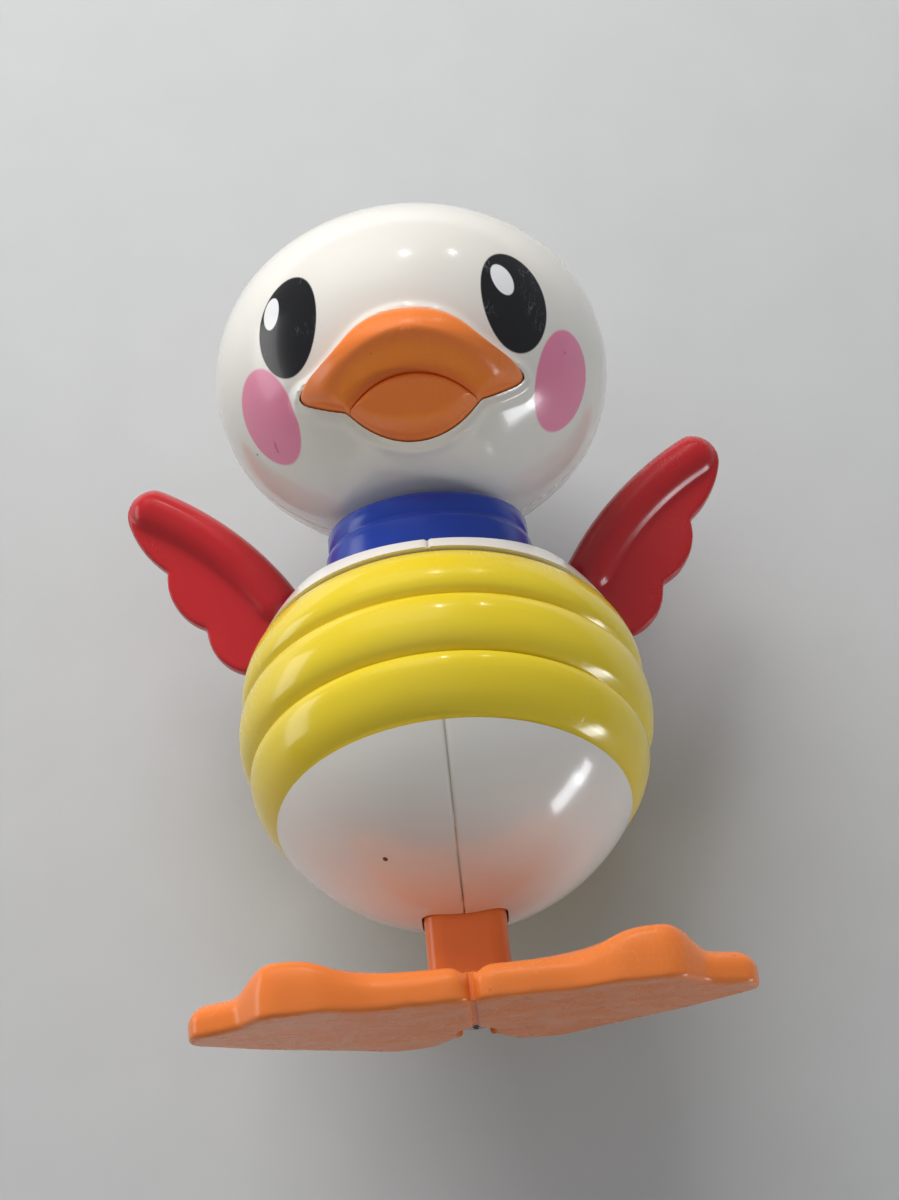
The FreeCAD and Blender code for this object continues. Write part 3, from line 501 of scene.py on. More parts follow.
steelLook = {
    "Colour": (0.56, 0.56, 0.57, 1), "Worn Colour": (0.42, 0.41, 0.40, 1), "Smooth": 0.24, "Dull": 0.5,
    "Scratches": 0.8, "Patches": 0.5, "Waviness": 0.4, "Specks": 0.3, "bump": 0.2, "metallic": 1.0,
}
springLook = {
    "Colour": (0.16, 0.17, 0.22, 1), "Worn Colour": (0.28, 0.27, 0.27, 1), "Smooth": 0.28, "Dull": 0.5,
    "Scratches": 0.6, "Patches": 0.5, "Waviness": 0.3, "Specks": 0.2, "bump": 0.2, "metallic": 1.0,
}
gearLook = {
    "Colour": (0.76, 0.73, 0.62, 1), "Worn Colour": (0.66, 0.62, 0.50, 1), "Smooth": 0.34, "Dull": 0.6,
    "Scratches": 0.3, "Patches": 0.4, "Waviness": 0.5, "Specks": 0.3, "bump": 0.15,
}


headLook = {
    "radius": 36.2, "halfHeight": 31.2, "sideRadius": 28.0, "wall": 2.0, "splitY": 4.0, "neckHole": 11.2,
    "splitGap": 0.12, "seamWidth": 0.3, "seamDepth": 0.22, "steps": 320, "rimRaise": 0.75,
    "rimWidth": 0.75, "windowGap": 0.28,
}


def crownRadius():
    a, b, s = headLook["radius"], headLook["halfHeight"], headLook["sideRadius"]
    return ((a - s) ** 2 + b * b - s * s) / (2 * (b - s))


def headProfile(shrink, firstRadius, step):
    # (radius, height) from near the bottom pole up to the top pole
    s = headLook["sideRadius"]
    crown = crownRadius()
    drop = crown - headLook["halfHeight"]
    reach = headLook["radius"] - s
    join = math.atan2(reach, drop)
    crownR, sideR = crown - shrink, s - shrink
    low = math.asin(firstRadius / crownR)
    count = max(2, round((join - low) * crownR / step))
    points = [(across, drop - down) for down, across in arc(crownR, low, join, count)[:-1]]
    side = math.pi / 2 - join
    count = round(2 * side * sideR / step)
    points += [(reach + across, up) for across, up in arc(sideR, -side, side, count)[:-1]]
    count = round(join * crownR / step)
    points += [(across, up - drop) for up, across in arc(crownR, join, 0, count)]
    return points


headCurve = headProfile(0, 0.01, 0.4)


def headReach(height, grow=0.0):
    # the head's radius at a height from its centre
    for (r0, h0), (r1, h1) in zip(headCurve, headCurve[1:]):
        if h0 <= height <= h1:
            return r0 + (r1 - r0) * (height - h0) / max(h1 - h0, 1e-9) + grow
    return 0.0


def headFront(x, z, grow=0.0):
    # y of the head's front at (x, height from the centre)
    r = headReach(z / (1 + grow / 33.0)) * (1 + grow / 36.0)
    return -math.sqrt(max(r * r - x * x, 0.0))


beakLook = {
    "archTop": -5.1, "cornerX": 19.5, "lipHalf": 11.0, "lipTop": -15.7, "lipMiddle": -19.5,
    "lipBottom": -23.9, "domeY": -17.0, "domeZ": -11.5, "domeSize": (22.0, 24.3, 13.5), "edgeRound": 1.5,
    "lipProud": 3.7, "lipRound": 1.7, "lipBevel": 0.9, "points": 192, "gap": 0.12,
}


def lipOutline(grow=0.0):
    b = beakLook
    end = (b["lipHalf"] + grow, b["lipMiddle"])
    other = (-end[0], end[1])
    top = cornerArc(end, (0, b["lipTop"] + grow), other, 40)
    bottom = cornerArc(other, (0, b["lipBottom"] - grow), end, 40)
    return top[:-1] + bottom[:-1]


def archOutline(grow=0.0):
    # the upper beak: an arch whose flanks sweep out to two drawn-out corners
    b = beakLook
    cx, top = b["cornerX"], b["archTop"]
    guide = [(0, top), (3.6, top - 0.35), (7.0, top - 1.5), (9.8, top - 3.4), (12.2, top - 5.5),
             (14.6, top - 7.1), (17.0, top - 8.2), (cx - 0.9, top - 8.75), (cx, top - 9.6),
             (cx - 0.5, top - 10.5), (17.6, top - 11.4), (14.6, top - 12.7), (11.9, top - 13.6)]
    curve = []
    ends = [(-guide[1][0], guide[1][1])] + guide + [(9.6, top - 14.0)]
    for i in range(1, len(ends) - 2):
        p0, p1, p2, p3 = (Vector(ends[i + k]) for k in (-1, 0, 1, 2))
        for j in range(8):
            t = j / 8
            curve.append(0.5 * ((2 * p1) + (p2 - p0) * t + (2 * p0 - 5 * p1 + 4 * p2 - p3) * t * t
                                + (3 * p1 - p0 - 3 * p2 + p3) * t ** 3))
    curve.append(Vector(guide[-1]))
    if grow:
        centre = Vector((0, -10.5))
        moved = []
        for i, p in enumerate(curve):
            along = (curve[min(i + 1, len(curve) - 1)] - curve[max(i - 1, 0)]).normalized()
            out = Vector((-along.y, along.x))
            if out.dot(p - centre) < 0:
                out = -out
            moved.append(p + out * grow)
        curve = moved
    right = [tuple(p) for p in curve]
    left = [(-x, z) for x, z in right[::-1]]
    return right, left


def upperOutline():
    # the arch, closed below by the lower beak's top edge
    right, left = archOutline()
    gap = beakLook["gap"]
    lip = lipOutline(gap)
    under = [p for p in lip[:41] if abs(p[0]) < right[-1][0] - 0.4]
    return right + under + left[:-1]


def windowOutline(gap):
    right, left = archOutline(gap)
    bottom = [p for p in lipOutline(gap)[40:] if p[1] < right[-1][1] - 0.3]
    return right + bottom[::-1] + left[:-1]


def distanceTo(outline, x, z):
    best = 1e9
    for (ax, az), (bx, bz) in zip(outline, outline[1:] + outline[:1]):
        dx, dz = bx - ax, bz - az
        t = max(0.0, min(1.0, ((x - ax) * dx + (z - az) * dz) / max(dx * dx + dz * dz, 1e-12)))
        best = min(best, math.hypot(x - ax - t * dx, z - az - t * dz))
    return best


def makeHead():
    h = headLook
    profile = headProfile(0, h["neckHole"], 0.62)
    points = [headCentre + Vector((0, r, z)) for r, z in profile]
    whole = spun(points, headCentre, (0, 0, 1), h["steps"])
    # the opening's edge is rolled up a little
    window = [tuple(p) for p in evenly(windowOutline(h["windowGap"]), 150)]
    for v in whole.verts:
        if v.co.y > -10 or abs(v.co.x) > 23 or not -28 < v.co.z - headCentre.z < -1:
            continue
        d = distanceTo(window, v.co.x, v.co.z - headCentre.z)
        rise = h["rimRaise"] * math.exp(-((d - 0.5) / h["rimWidth"]) ** 2)
        if rise > 0.01:
            v.co += (v.co - headCentre).normalized() * rise
    shells = {}
    for name, sign in (("headFront", -1), ("headRear", 1)):
        half = whole.copy()
        edgeAt = h["splitY"] + sign * h["splitGap"]
        cutFlat(half, (0, edgeAt, 0), (0, -sign, 0))
        cutFlat(half, (0, edgeAt + sign * h["seamWidth"], 0), (0, 1, 0), trim=False)
        for v in half.verts:
            if abs(v.co.y - edgeAt) < 0.01:
                v.co += (headCentre - v.co).normalized() * h["seamDepth"]
        shells[name] = thickened(half, h["wall"])
    whole.free()
    front = carved(shells["headFront"], [windowCutter(window)])
    finishPiece(front, "headFront", "head", ["head_front_shell"], faceMaterial)
    finishPiece(shells["headRear"], "headRear", "head", ["head_rear_shell"], faceMaterial)


def windowCutter(window):
    placed = [(x, z + headCentre.z) for x, z in window]
    return plate(placed, -48, -14, "Y")


def polarPad(outline, hub, depths, innerRings, surface, skirt):
    # a disc of rings laid into the outline: the first lie at these depths, the rest evenly in to the hub
    count, rings = len(outline), len(depths) + innerRings
    bm = bmesh.new()
    bmesh.ops.create_circle(bm, cap_ends=True, segments=count, radius=rings)
    for k in range(rings - 1):
        inner = max(bm.faces, key=lambda f: len(f.verts))
        bmesh.ops.inset_region(bm, faces=[inner], thickness=math.cos(math.pi / count), use_boundary=True,
                               use_even_offset=True)
    inner = max(bm.faces, key=lambda f: len(f.verts))
    bmesh.ops.poke(bm, faces=[inner])
    for v in bm.verts:
        r = math.hypot(v.co.x, v.co.y)
        ring = rings - round(r)
        i = round(math.atan2(v.co.y, v.co.x) / (2 * math.pi) * count) % count
        edge = Vector(outline[i])
        run = Vector(hub) - edge
        if ring >= rings:
            x, z = hub
            d = run.length
        else:
            d = depths[min(ring, len(depths) - 1)] * min(1.0, run.length * 0.5 / depths[-1])
            if ring >= len(depths):
                d += (run.length - d) * (ring - len(depths) + 1) / (innerRings + 1)
            x, z = edge + run.normalized() * d
        v.co = Vector((x, surface(x, z, d), z)) + Vector((0, 0, headCentre.z))
    more = bmesh.ops.extrude_edge_only(bm, edges=openEdges(bm))["geom"]
    low = [g for g in more if isinstance(g, bmesh.types.BMVert)]
    for v in low:
        v.co.y += skirt
    bmesh.ops.holes_fill(bm, edges=openEdges(bm), sides=0)
    bmesh.ops.recalc_face_normals(bm, faces=bm.faces)
    return bm


def rounding(d, radius):
    # how far the surface falls back within a radius of its edge
    if d >= radius:
        return 0.0
    return radius - math.sqrt(max(radius * radius - (radius - d) ** 2, 0.0))


def makeBeaks():
    b = beakLook
    sx, sy, sz = b["domeSize"]
    lip = lipOutline()

    def upperSurface(x, z, d):
        inside = 1 - (x / sx) ** 2 - ((z - b["domeZ"]) / sz) ** 2
        dome = b["domeY"] - sy * math.sqrt(max(inside, 0.0))
        flank = headFront(x, z, 0.9)
        mix = max(3.0 - abs(dome - flank), 0.0) / 3.0
        bulge = min(dome, flank) - mix * mix * 0.75
        beside = distanceTo(lip, x, z)
        sunk = max(bulge, headFront(x, z, b["lipProud"] - 1.5))
        share = smoothStep(beside / 5.2)
        edge = 0.3 + (b["edgeRound"] - 0.3) * smoothStep((beside - 0.5) / 2.5)
        return sunk + (bulge - sunk) * share + rounding(d, edge)

    def lowerSurface(x, z, d):
        fall = b["lipBevel"] * (1 - smoothStep(d / 2.4))
        return headFront(x, z, b["lipProud"]) + rounding(d, b["lipRound"]) + fall

    depths = [0.0, 0.08, 0.2, 0.38, 0.6, 0.9, 1.25, 1.6, 2.1]
    upper = polarPad(evenly(upperOutline(), b["points"]), (0, -10.3), depths, 6, upperSurface, 5.0)
    finishPiece(upper, "upperBeak", "head", ["upper_beak"], beakMaterial, 50)
    depths = [0.0, 0.06, 0.15, 0.3, 0.5, 0.75, 1.0, 1.5, 2.1]
    lower = polarPad(evenly(lipOutline(), b["points"]), (0, -19.6), depths, 5, lowerSurface, 5.0)
    finishPiece(lower, "lowerBeak", "head", ["lower_beak"], beakMaterial, 50)


# eyes and cheeks are printed on: centre and upward half axis from the head's centre, then half the width
faceMarks = {
    "eyes": [((-20.4, -28.7, -1.8), (1.45, -1.55, 9.0), 6.5),
             ((19.1, -29.5, -1.8), (-0.65, -1.0, 9.4), 6.7)],
    "glints": [((-22.9, -27.0, 1.7), (0.30, -0.35, 3.0), 1.85),
               ((17.2, -30.7, 1.8), (-0.75, -0.5, 3.0), 2.1)],
    "cheeks": [((-25.7, -18.6, -14.3), (-1.4, -5.3, 7.1), 7.0),
               ((26.4, -18.8, -12.9), (1.75, -4.5, 7.7), 7.0)],
}
faceLook = {
    "eye": (0.010, 0.010, 0.012, 1), "glint": (0.84, 0.85, 0.86, 1), "cheek": (0.82, 0.25, 0.40, 1),
    "eyeScuff": (0.45, 0.45, 0.46, 1), "cheekScuff": (0.52, 0.11, 0.22, 1),
    "crease": (0.50, 0.08, 0.17, 1), "creaseWobble": 0.9, "creaseExtra": 0.25, "markReach": 16.0,
}

# creases in the printed cheeks: two ends from the head's centre, and how wide
cheekCreases = [
    ((-21.6, -23.6, -9.3), (-25.2, -16.2, -17.2), 0.16),
    ((-25.2, -16.2, -17.2), (-24.9, -14.6, -18.9), 0.22),
    ((-21.2, -23.0, -11.4), (-23.7, -18.4, -15.8), 0.10),
    ((25.7, -22.4, -7.4), (27.6, -21.2, -8.6), 0.12),
    ((26.3, -22.0, -7.0), (27.2, -21.3, -8.9), 0.10),
]


def creaseRuns(start, end, count=3):
    # short runs between the two ends that keep to the round of the head
    stops = []
    for i in range(count + 1):
        t = i / count
        stops.append(start.lerp(end, t).normalized() * (start.length * (1 - t) + end.length * t))
    return list(zip(stops[:-1], stops[1:]))


def creaseMask(tree, place, start, end, width, wobble):
    # 1 along the short line between two points, wavering a little
    along = (end - start) * millimetre
    beside = vectorNode(tree, "SUBTRACT", place, (headCentre + start) * millimetre)
    share = vectorNode(tree, "DOT_PRODUCT", beside, along / along.length_squared)
    onLine = addNode(tree, "ShaderNodeVectorMath", -200, 900, operation="SCALE")
    onLine.inputs[0].default_value = along
    tree.links.new(mathNode(tree, "ADD", share, 0.0, clamp=True), onLine.inputs["Scale"])
    away = vectorNode(tree, "DISTANCE", beside, onLine.outputs[0])
    away = plus(tree, away, times(tree, minus(tree, wobble, 0.5), faceLook["creaseWobble"] * millimetre))
    # a run is a straight line under a round surface, so it is read a little wide
    return fallOff(tree, mathNode(tree, "ABSOLUTE", away), (width + faceLook["creaseExtra"]) * millimetre)


def markMask(tree, place, spot, softness):
    # 1 inside a printed oval
    centre, up = Vector(spot[0]), Vector(spot[1])
    outward = Vector((centre.x, centre.y, centre.z * 1.35))
    across = up.cross(outward).normalized() * spot[2]
    middle = (headCentre + centre) * millimetre
    total = None
    for axis in (across, up):
        # distance along the axis, 1 at the mark's edge
        beside = vectorNode(tree, "SUBTRACT", place, middle)
        share = vectorNode(tree, "DOT_PRODUCT", beside, axis / axis.length_squared / millimetre)
        square = times(tree, share, share)
        total = square if total is None else plus(tree, total, square)
    shape = mathNode(tree, "DIVIDE", minus(tree, 1.0, mathNode(tree, "SQRT", total)), softness)
    shape = mathNode(tree, "ADD", shape, 0.5, clamp=True)
    near = vectorNode(tree, "DISTANCE", place, middle)
    return times(tree, shape, mathNode(tree, "LESS_THAN", near, faceLook["markReach"] * millimetre))


def paintFace(tree, colour, rough, height):
    f = faceLook
    place = objectPlace(tree)
    wobble = noiseNode(tree, place, 420)
    masks = {}
    for name, softness in (("cheeks", 0.05), ("eyes", 0.03), ("glints", 0.08)):
        masks[name] = larger(tree, *(markMask(tree, place, spot, softness) for spot in faceMarks[name]))
    # the print is rubbed through in fine lines
    scuffs = [thinLine(tree, noiseNode(tree, place, scale, 4, (1, 6, 1), turn), 120.0)
              for turn, scale in (((0.2, 0.9, 0.5), 160.0), ((1.1, 0.3, -0.7), 210.0))]
    there = times(tree, minus(tree, noiseNode(tree, place, 120), 0.52, clamp=True), 8.0, clamp=True)
    scuff = times(tree, larger(tree, *scuffs), there)
    colour = tinted(tree, colour, masks["cheeks"], f["cheek"])
    colour = tinted(tree, colour, masks["eyes"], f["eye"])
    colour = tinted(tree, colour, times(tree, times(tree, scuff, 0.35), masks["eyes"]), f["eyeScuff"])
    colour = tinted(tree, colour, times(tree, times(tree, scuff, 0.4), masks["cheeks"]), f["cheekScuff"])
    colour = tinted(tree, colour, masks["glints"], f["glint"])
    for start, end, width in cheekCreases:
        line = 0.0
        for near, far in creaseRuns(Vector(start), Vector(end)):
            line = larger(tree, creaseMask(tree, place, near, far, width, wobble), line)
        colour = tinted(tree, colour, times(tree, line, 0.75), f["crease"])
        height = minus(tree, height, times(tree, line, 0.8))
    marks = larger(tree, masks["cheeks"], masks["eyes"])
    rough = plus(tree, rough, times(tree, marks, 0.07))
    rough = plus(tree, rough, times(tree, times(tree, scuff, marks), 0.15))
    height = plus(tree, height, times(tree, marks, 0.10))
    return colour, rough, height


faceMaterial = mouldedMaterial("faceWhite", whiteLook, paintFace)
beakMaterial = mouldedMaterial("beakOrange", orangeLook)
makeHead()
makeBeaks()
print("head done")


bodyLook = {
    "radius": 36.0, "wall": 2.0, "shoulder": 25.4, "tilt": 15.0, "bandLow": -19.0, "bandHigh": 15.2,
    "seat": 33.2, "halfGap": 0.012, "seamHalf": 0.55, "seamDepth": 0.35, "stemHole": (7.4, 6.3),
    "neckHole": 12.9, "keyHole": 2.05, "steps": 160, "fleck": (-12.1, -18.7, -28.3), "fleckSize": 0.45,
    "grimeHalf": 0.42,
}
bandAxis = Vector((0, math.sin(math.radians(bodyLook["tilt"])), math.cos(math.radians(bodyLook["tilt"]))))


def ballPoints(radius, low, high, step=1.6):
    # (radius, height) along a ball between two heights on its axis
    a0, a1 = math.asin(max(-1, low / radius)), math.asin(min(1, high / radius))
    return arc(radius, a0, a1, max(2, round((a1 - a0) * radius / step)))


def wingSlotCutter(sign):
    w = wingLook
    hx, hz = w["hinge"]
    half = w["thickness"] / 2 + 0.3
    fan = [(0, 0)] + arc(w["slotReach"], math.radians(-8), math.radians(104), 12)
    outline = [(sign * (hx + x), hz + z) for x, z in fan]
    return plate(outline, w["planeY"] - half, w["planeY"] + half, "Y")


def makeBody():
    b = bodyLook
    r, seat = b["radius"], b["seat"]
    profile = ballPoints(r, -r, b["bandLow"]) + ballPoints(seat, b["bandLow"], b["bandHigh"]) \
        + ballPoints(r, b["bandHigh"], r)
    points = [bodyCentre + Vector((rad, 0, 0)) + bandAxis * h for rad, h in profile]
    whole = spun(points, bodyCentre, bandAxis, b["steps"])
    cut = cutFlat(whole, (0, 0, bodyCentre.z + b["shoulder"]), (0, 0, 1))
    bmesh.ops.contextual_create(whole, geom=[g for g in cut if isinstance(g, bmesh.types.BMEdge)])
    for name, sign, node in (("bodyLeft", 1, "body_left_shell"), ("bodyRight", -1, "body_right_shell")):
        half = whole.copy()
        cutFlat(half, (sign * b["halfGap"], 0, 0), (-sign, 0, 0))
        cutFlat(half, (sign * b["seamHalf"], 0, 0), (1, 0, 0), trim=False)
        for v in half.verts:
            if abs(v.co.x) < 0.1:
                v.co += (bodyCentre - v.co).normalized() * b["seamDepth"]
        half = thickened(half, b["wall"])
        sx, sy = b["stemHole"]
        half = carved(half, [
            roundedBar((-sx, -sy, 10), (sx, sy, 30), 3.0),
            cylinder(b["neckHole"], (0, 0, 70), (0, 0, 1), 20, 96),
            cylinder(b["keyHole"], (0, 20, keyLook["z"]), (0, 1, 0), 30),
            wingSlotCutter(sign),
        ])
        finishPiece(half, name, "body", [node], bodyMaterial)
    whole.free()


bandLook = {
    "ribs": 3, "crest": 0.5, "groove": 1.6, "inner": 33.3, "steps": 220, "pointsPerRib": 15,
    "flashLean": 0.35, "flashBack": 12.0, "flashHalf": 0.16,
}


def makeBand():
    b, k = bodyLook, bandLook
    low, high = b["bandLow"] + 0.1, b["bandHigh"] - 0.1
    pitch = (high - low) / k["ribs"]
    profile = []
    for rib in range(k["ribs"]):
        for i in range(k["pointsPerRib"] + 1):
            if rib and not i:
                continue
            t = 2 * i / k["pointsPerRib"] - 1
            # round crest, steep into the groove
            bulge = (1 - abs(t) ** 2.6) ** 0.62 if abs(t) < 1 else 0.0
            h = low + pitch * (rib + i / k["pointsPerRib"])
            rad = b["radius"] - k["groove"] + (k["groove"] + k["crest"]) * bulge
            profile.append((math.sqrt(rad * rad - h * h), h))
    inner = ballPoints(k["inner"], low, high, 4)
    profile += inner[::-1] + [profile[0]]
    points = [bodyCentre + Vector((rad, 0, 0)) + bandAxis * h for rad, h in profile]
    band = spun(points, bodyCentre, bandAxis, k["steps"])
    finishPiece(band, "ribbedBand", "body", ["ribbed_band"], bandMaterial, 40)


def bellySpots(tree, colour, rough, height):
    # one dark fleck low on the belly, and grime in the seam
    place = objectPlace(tree)
    spot = vectorNode(tree, "DISTANCE", place, (bodyCentre + Vector(bodyLook["fleck"])) * millimetre)
    fleck = mathNode(tree, "LESS_THAN", spot, bodyLook["fleckSize"] * millimetre)
    aside = mathNode(tree, "ABSOLUTE", axes(tree, place)[0])
    seam = fallOff(tree, aside, bodyLook["grimeHalf"] * millimetre)
    grime = times(tree, seam, mathNode(tree, "MULTIPLY_ADD", noiseNode(tree, place, 180), 0.7, 0.2))
    colour = tinted(tree, colour, grime, (0.45, 0.38, 0.28, 1))
    return tinted(tree, colour, fleck, (0.10, 0.05, 0.03, 1)), rough, height


def bandFlash(tree, colour, rough, height):
    # a thin moulding line crosses the ribs at each side
    y, z = axes(tree, objectPlace(tree))[1:]
    k = bandLook
    lean = mathNode(tree, "MULTIPLY_ADD", z, k["flashLean"],
                    (k["flashBack"] - bodyCentre.z * k["flashLean"]) * millimetre)
    line = fallOff(tree, mathNode(tree, "ABSOLUTE", plus(tree, y, lean)), k["flashHalf"] * millimetre)
    height = plus(tree, height, times(tree, line, 1.2))
    return tinted(tree, colour, times(tree, line, 0.35), (0.93, 0.82, 0.30, 1)), rough, height


collarLook = {
    "profile": [(9.0, 75.4), (14.3, 75.4), (14.3, 77.5), (12.6, 77.5), (12.6, 80.15), (18.0, 80.15),
                (18.7, 80.8), (18.75, 83.4), (18.75, 86.6), (18.55, 87.6), (18.05, 88.1), (17.85, 88.5),
                (18.05, 88.95), (18.1, 89.6), (18.05, 91.6), (17.7, 92.3), (16.9, 92.5), (13.6, 94.0),
                (10.9, 93.7), (10.9, 97.2), (13.8, 97.2), (13.8, 99.0), (9.0, 99.0), (9.0, 75.4)],
    "steps": 160,
}


def makeCollar():
    points = [Vector((0, r, z)) for r, z in collarLook["profile"]]
    collar = spun(points, (0, 0, 0), (0, 0, 1), collarLook["steps"])
    soften(collar, 0.3, 3, 30)
    finishPiece(collar, "neckCollar", "body", ["neck_collar"], collarMaterial, 40)


wingLook = {
    "hinge": (19.475, 72.471), "planeY": 16.0, "thickness": 3.0, "roll": 4.5, "boss": 3.0, "pin": 1.3,
    "slotReach": 18.5, "rollPath": ((9.8, 15.1), (19.8, 27.4), (31.7, 36.0)), "voxel": 0.42, "smooth": 5,
}


def wingOutline():
    runs = [
        cornerArc((6.3, 17.0), (17.0, 30.6), (30.6, 40.5), 14),
        cornerArc((30.6, 40.5), (35.6, 38.5), (36.3, 33.6), 8),
        cornerArc((36.3, 33.6), (33.8, 28.2), (29.6, 23.6), 8),
        cornerArc((29.6, 23.6), (29.6, 19.4), (28.2, 16.0), 6),
        cornerArc((28.2, 16.0), (25.9, 13.2), (23.0, 11.4), 6),
        cornerArc((23.0, 11.4), (21.9, 6.6), (16.4, 1.9), 8),
    ]
    root = [(16.4, 1.9), (11.0, 4.5), (3.0, -0.6), (0.6, 3.4), (5.0, 12.0)]
    points = [p for run in runs for p in run[:-1]] + root
    hx, hz = wingLook["hinge"]
    return [(hx + x, hz + z) for x, z in points]


def makeWings():
    w = wingLook
    hx, hz = w["hinge"]
    half = w["thickness"] / 2
    for name, sign, node in (("leftWing", 1, "left_wing"), ("rightWing", -1, "right_wing")):
        panel = plate(wingOutline(), w["planeY"] - half, w["planeY"] + half, "Y")
        path = cornerArc(*w["rollPath"], 28)
        roll = bmesh.new()
        rings = []
        for i, (x, z) in enumerate(path):
            x0, z0 = path[max(i - 1, 0)]
            x1, z1 = path[min(i + 1, len(path) - 1)]
            along = Vector((x1 - x0, 0, z1 - z0)).normalized()
            turn = Vector((0, 0, 1)).rotation_difference(along).to_matrix().to_4x4()
            place = Matrix.Translation((hx + x, w["planeY"], hz + z)) @ turn
            before = set(roll.edges)
            bmesh.ops.create_circle(roll, cap_ends=False, segments=40, radius=w["roll"], matrix=place)
            rings.append([e for e in roll.edges if e not in before])
        for a, b in zip(rings, rings[1:]):
            bmesh.ops.bridge_loops(roll, edges=a + b)
        bmesh.ops.holes_fill(roll, edges=openEdges(roll), sides=0)
        bmesh.ops.recalc_face_normals(roll, faces=roll.faces)
        ends = [egg((hx + x, w["planeY"], hz + z), (w["roll"],) * 3) for x, z in (path[0], path[-1])]
        boss = cylinder(w["boss"], (hx, w["planeY"] - half, hz), (0, 1, 0), w["thickness"])
        lever = roundedBar((8.6, w["planeY"] - half, hz - 1), (hx, w["planeY"] + half, hz + 1), 0)
        tip = cylinder(1.7, (8.6, w["planeY"] - half, hz), (0, 1, 0), w["thickness"])
        wing = melted([panel, roll, boss, lever, tip] + ends, w["voxel"], w["smooth"])
        wing = carved(wing, [cylinder(w["pin"], (hx, 10, hz), (0, 1, 0), 12, 32)])
        if sign < 0:
            mirrored(wing)
        finishPiece(wing, name, node, [node], wingMaterial, 50)


feetLook = {
    "height": 6.5, "span": 47.4, "front": -23.5, "back": 8.6, "toeX": 29.2, "toeHeight": 9.7, "slit": 0.3,
    "hub": 5.4, "recess": 3.6, "screwHole": 1.7, "rounding": 3.6, "voxel": 0.42, "smooth": 5,
}


def footOutline():
    f = feetLook
    tip, front, back, toe = f["span"], f["front"], f["back"], f["toeX"]
    return roundedOutline([
        (f["slit"], 2 - f["hub"], 0), (f["slit"], front, 3.2), (toe - 12.6, front + 0.7, 12),
        (toe - 5.2, front - 1.8, 7), (toe + 4.3, front - 1.8, 5), (toe + 9.2, front + 4.2, 3),
        (tip - 1.2, front + 7.6, 3), (tip + 0.2, front + 12.6, 2.6), (0.76 * tip, back - 11.2, 20),
        (0.46 * tip, back - 3.6, 14), (0.30 * tip, back + 0.8, 5), (0.15 * tip, back, 4),
        (2.8, back - 6, 2.6), (f["slit"], back - 6, 0)])


def makeFeet():
    f = feetLook
    outline = footOutline()
    slab = plate(outline, 0, f["height"])
    low = [e for e in slab.edges if all(v.co.z < 0.01 for v in e.verts)]
    bevelled(slab, low, 0.5, 2)
    slab = melted([slab], f["voxel"], 0)
    rim = [tuple(p) for p in outline]
    for v in slab.verts:
        if v.co.z < f["height"] - f["rounding"] or v.co.x < 0.5:
            continue
        fall = rounding(distanceTo(rim, v.co.x, v.co.y), f["rounding"])
        v.co.z = min(v.co.z, f["height"] - fall)
    foot = melted([slab], f["voxel"], f["smooth"])
    for v in foot.verts:
        if v.co.z < 1.5:
            continue
        x, y = v.co.x - f["toeX"], v.co.y - f["front"]
        width, power = (9.0, 2.6) if x < 1 else (6.6, 4.5)
        hump = (f["toeHeight"] - f["height"]) * math.exp(-abs((x - 1) / width) ** power)
        hump += 1.3 * math.exp(-abs((x + 11) / 9) ** 2) * smoothStep((v.co.y + 22) / 6)
        hump -= 0.5 * smoothStep((x - 7) / 3)
        back = 1 - 0.9 * smoothStep((y - 7) / 13)
        v.co.z += hump * back * smoothStep((v.co.z - 1.5) / 4.5)
    hub = roundedBar((-0.9, -20.6, 0.5), (0.9, 2.4, 5.4), 0.25)
    parts = []
    for part in (foot, hub):
        recess = cylinder(f["recess"], (0, 0, -1), (0, 0, 1), 3.6, 64)
        screwHole = cylinder(f["screwHole"], (0, 0, -1), (0, 0, 1), 12, 32)
        parts.append(carved(part, [recess, screwHole]))
    foot, hub = parts
    both = joined([foot.copy(), mirrored(foot), hub])
    finishPiece(both, "webbedFeet", "leg", ["feet"], feetMaterial, 40)


stemLook = {"halfWidth": 7.0, "halfDepth": 5.95, "foot": 6.3, "top": 34.0, "corner": 3.4, "flare": 1.014}


def makeStem():
    s = stemLook
    x, y = s["halfWidth"], s["halfDepth"]
    stem = roundedBar((-x, -y, s["foot"]), (x, y, s["top"]), 0)
    upright = [e for e in stem.edges if abs(e.verts[0].co.z - e.verts[1].co.z) > 1]
    bevelled(stem, upright, s["corner"], 10, clamp=False)
    for v in stem.verts:
        if v.co.z < 10:
            v.co.x *= s["flare"]
    finishPiece(stem, "legStem", "leg", ["leg_stem"], stemMaterial, 40)


def soleScratches(tree, colour, rough, height):
    # the underside is rubbed pale and scratched all over
    place = objectPlace(tree)
    sole = mathNode(tree, "LESS_THAN", axes(tree, place)[2], 0.0003)
    streak = noiseNode(tree, place, 60, 6, (1, 5, 1), (0, 0, 0.25))
    cloud = noiseNode(tree, place, 110, 5)
    amount = times(tree, minus(tree, larger(tree, streak, cloud), 0.47, clamp=True), 4.0, clamp=True)
    amount = times(tree, amount, sole)
    colour = tinted(tree, colour, times(tree, amount, 0.65), (0.80, 0.42, 0.27, 1))
    rough = plus(tree, rough, times(tree, amount, 0.10))
    height = plus(tree, height, times(tree, times(tree, plus(tree, streak, cloud), sole), 7.0))
    return colour, rough, height


keyLook = {
    "start": 37.0, "hub": 3.4, "hubLength": 5.0, "half": 10.0, "depth": 9.0, "thick": 2.6, "z": 64.5,
}


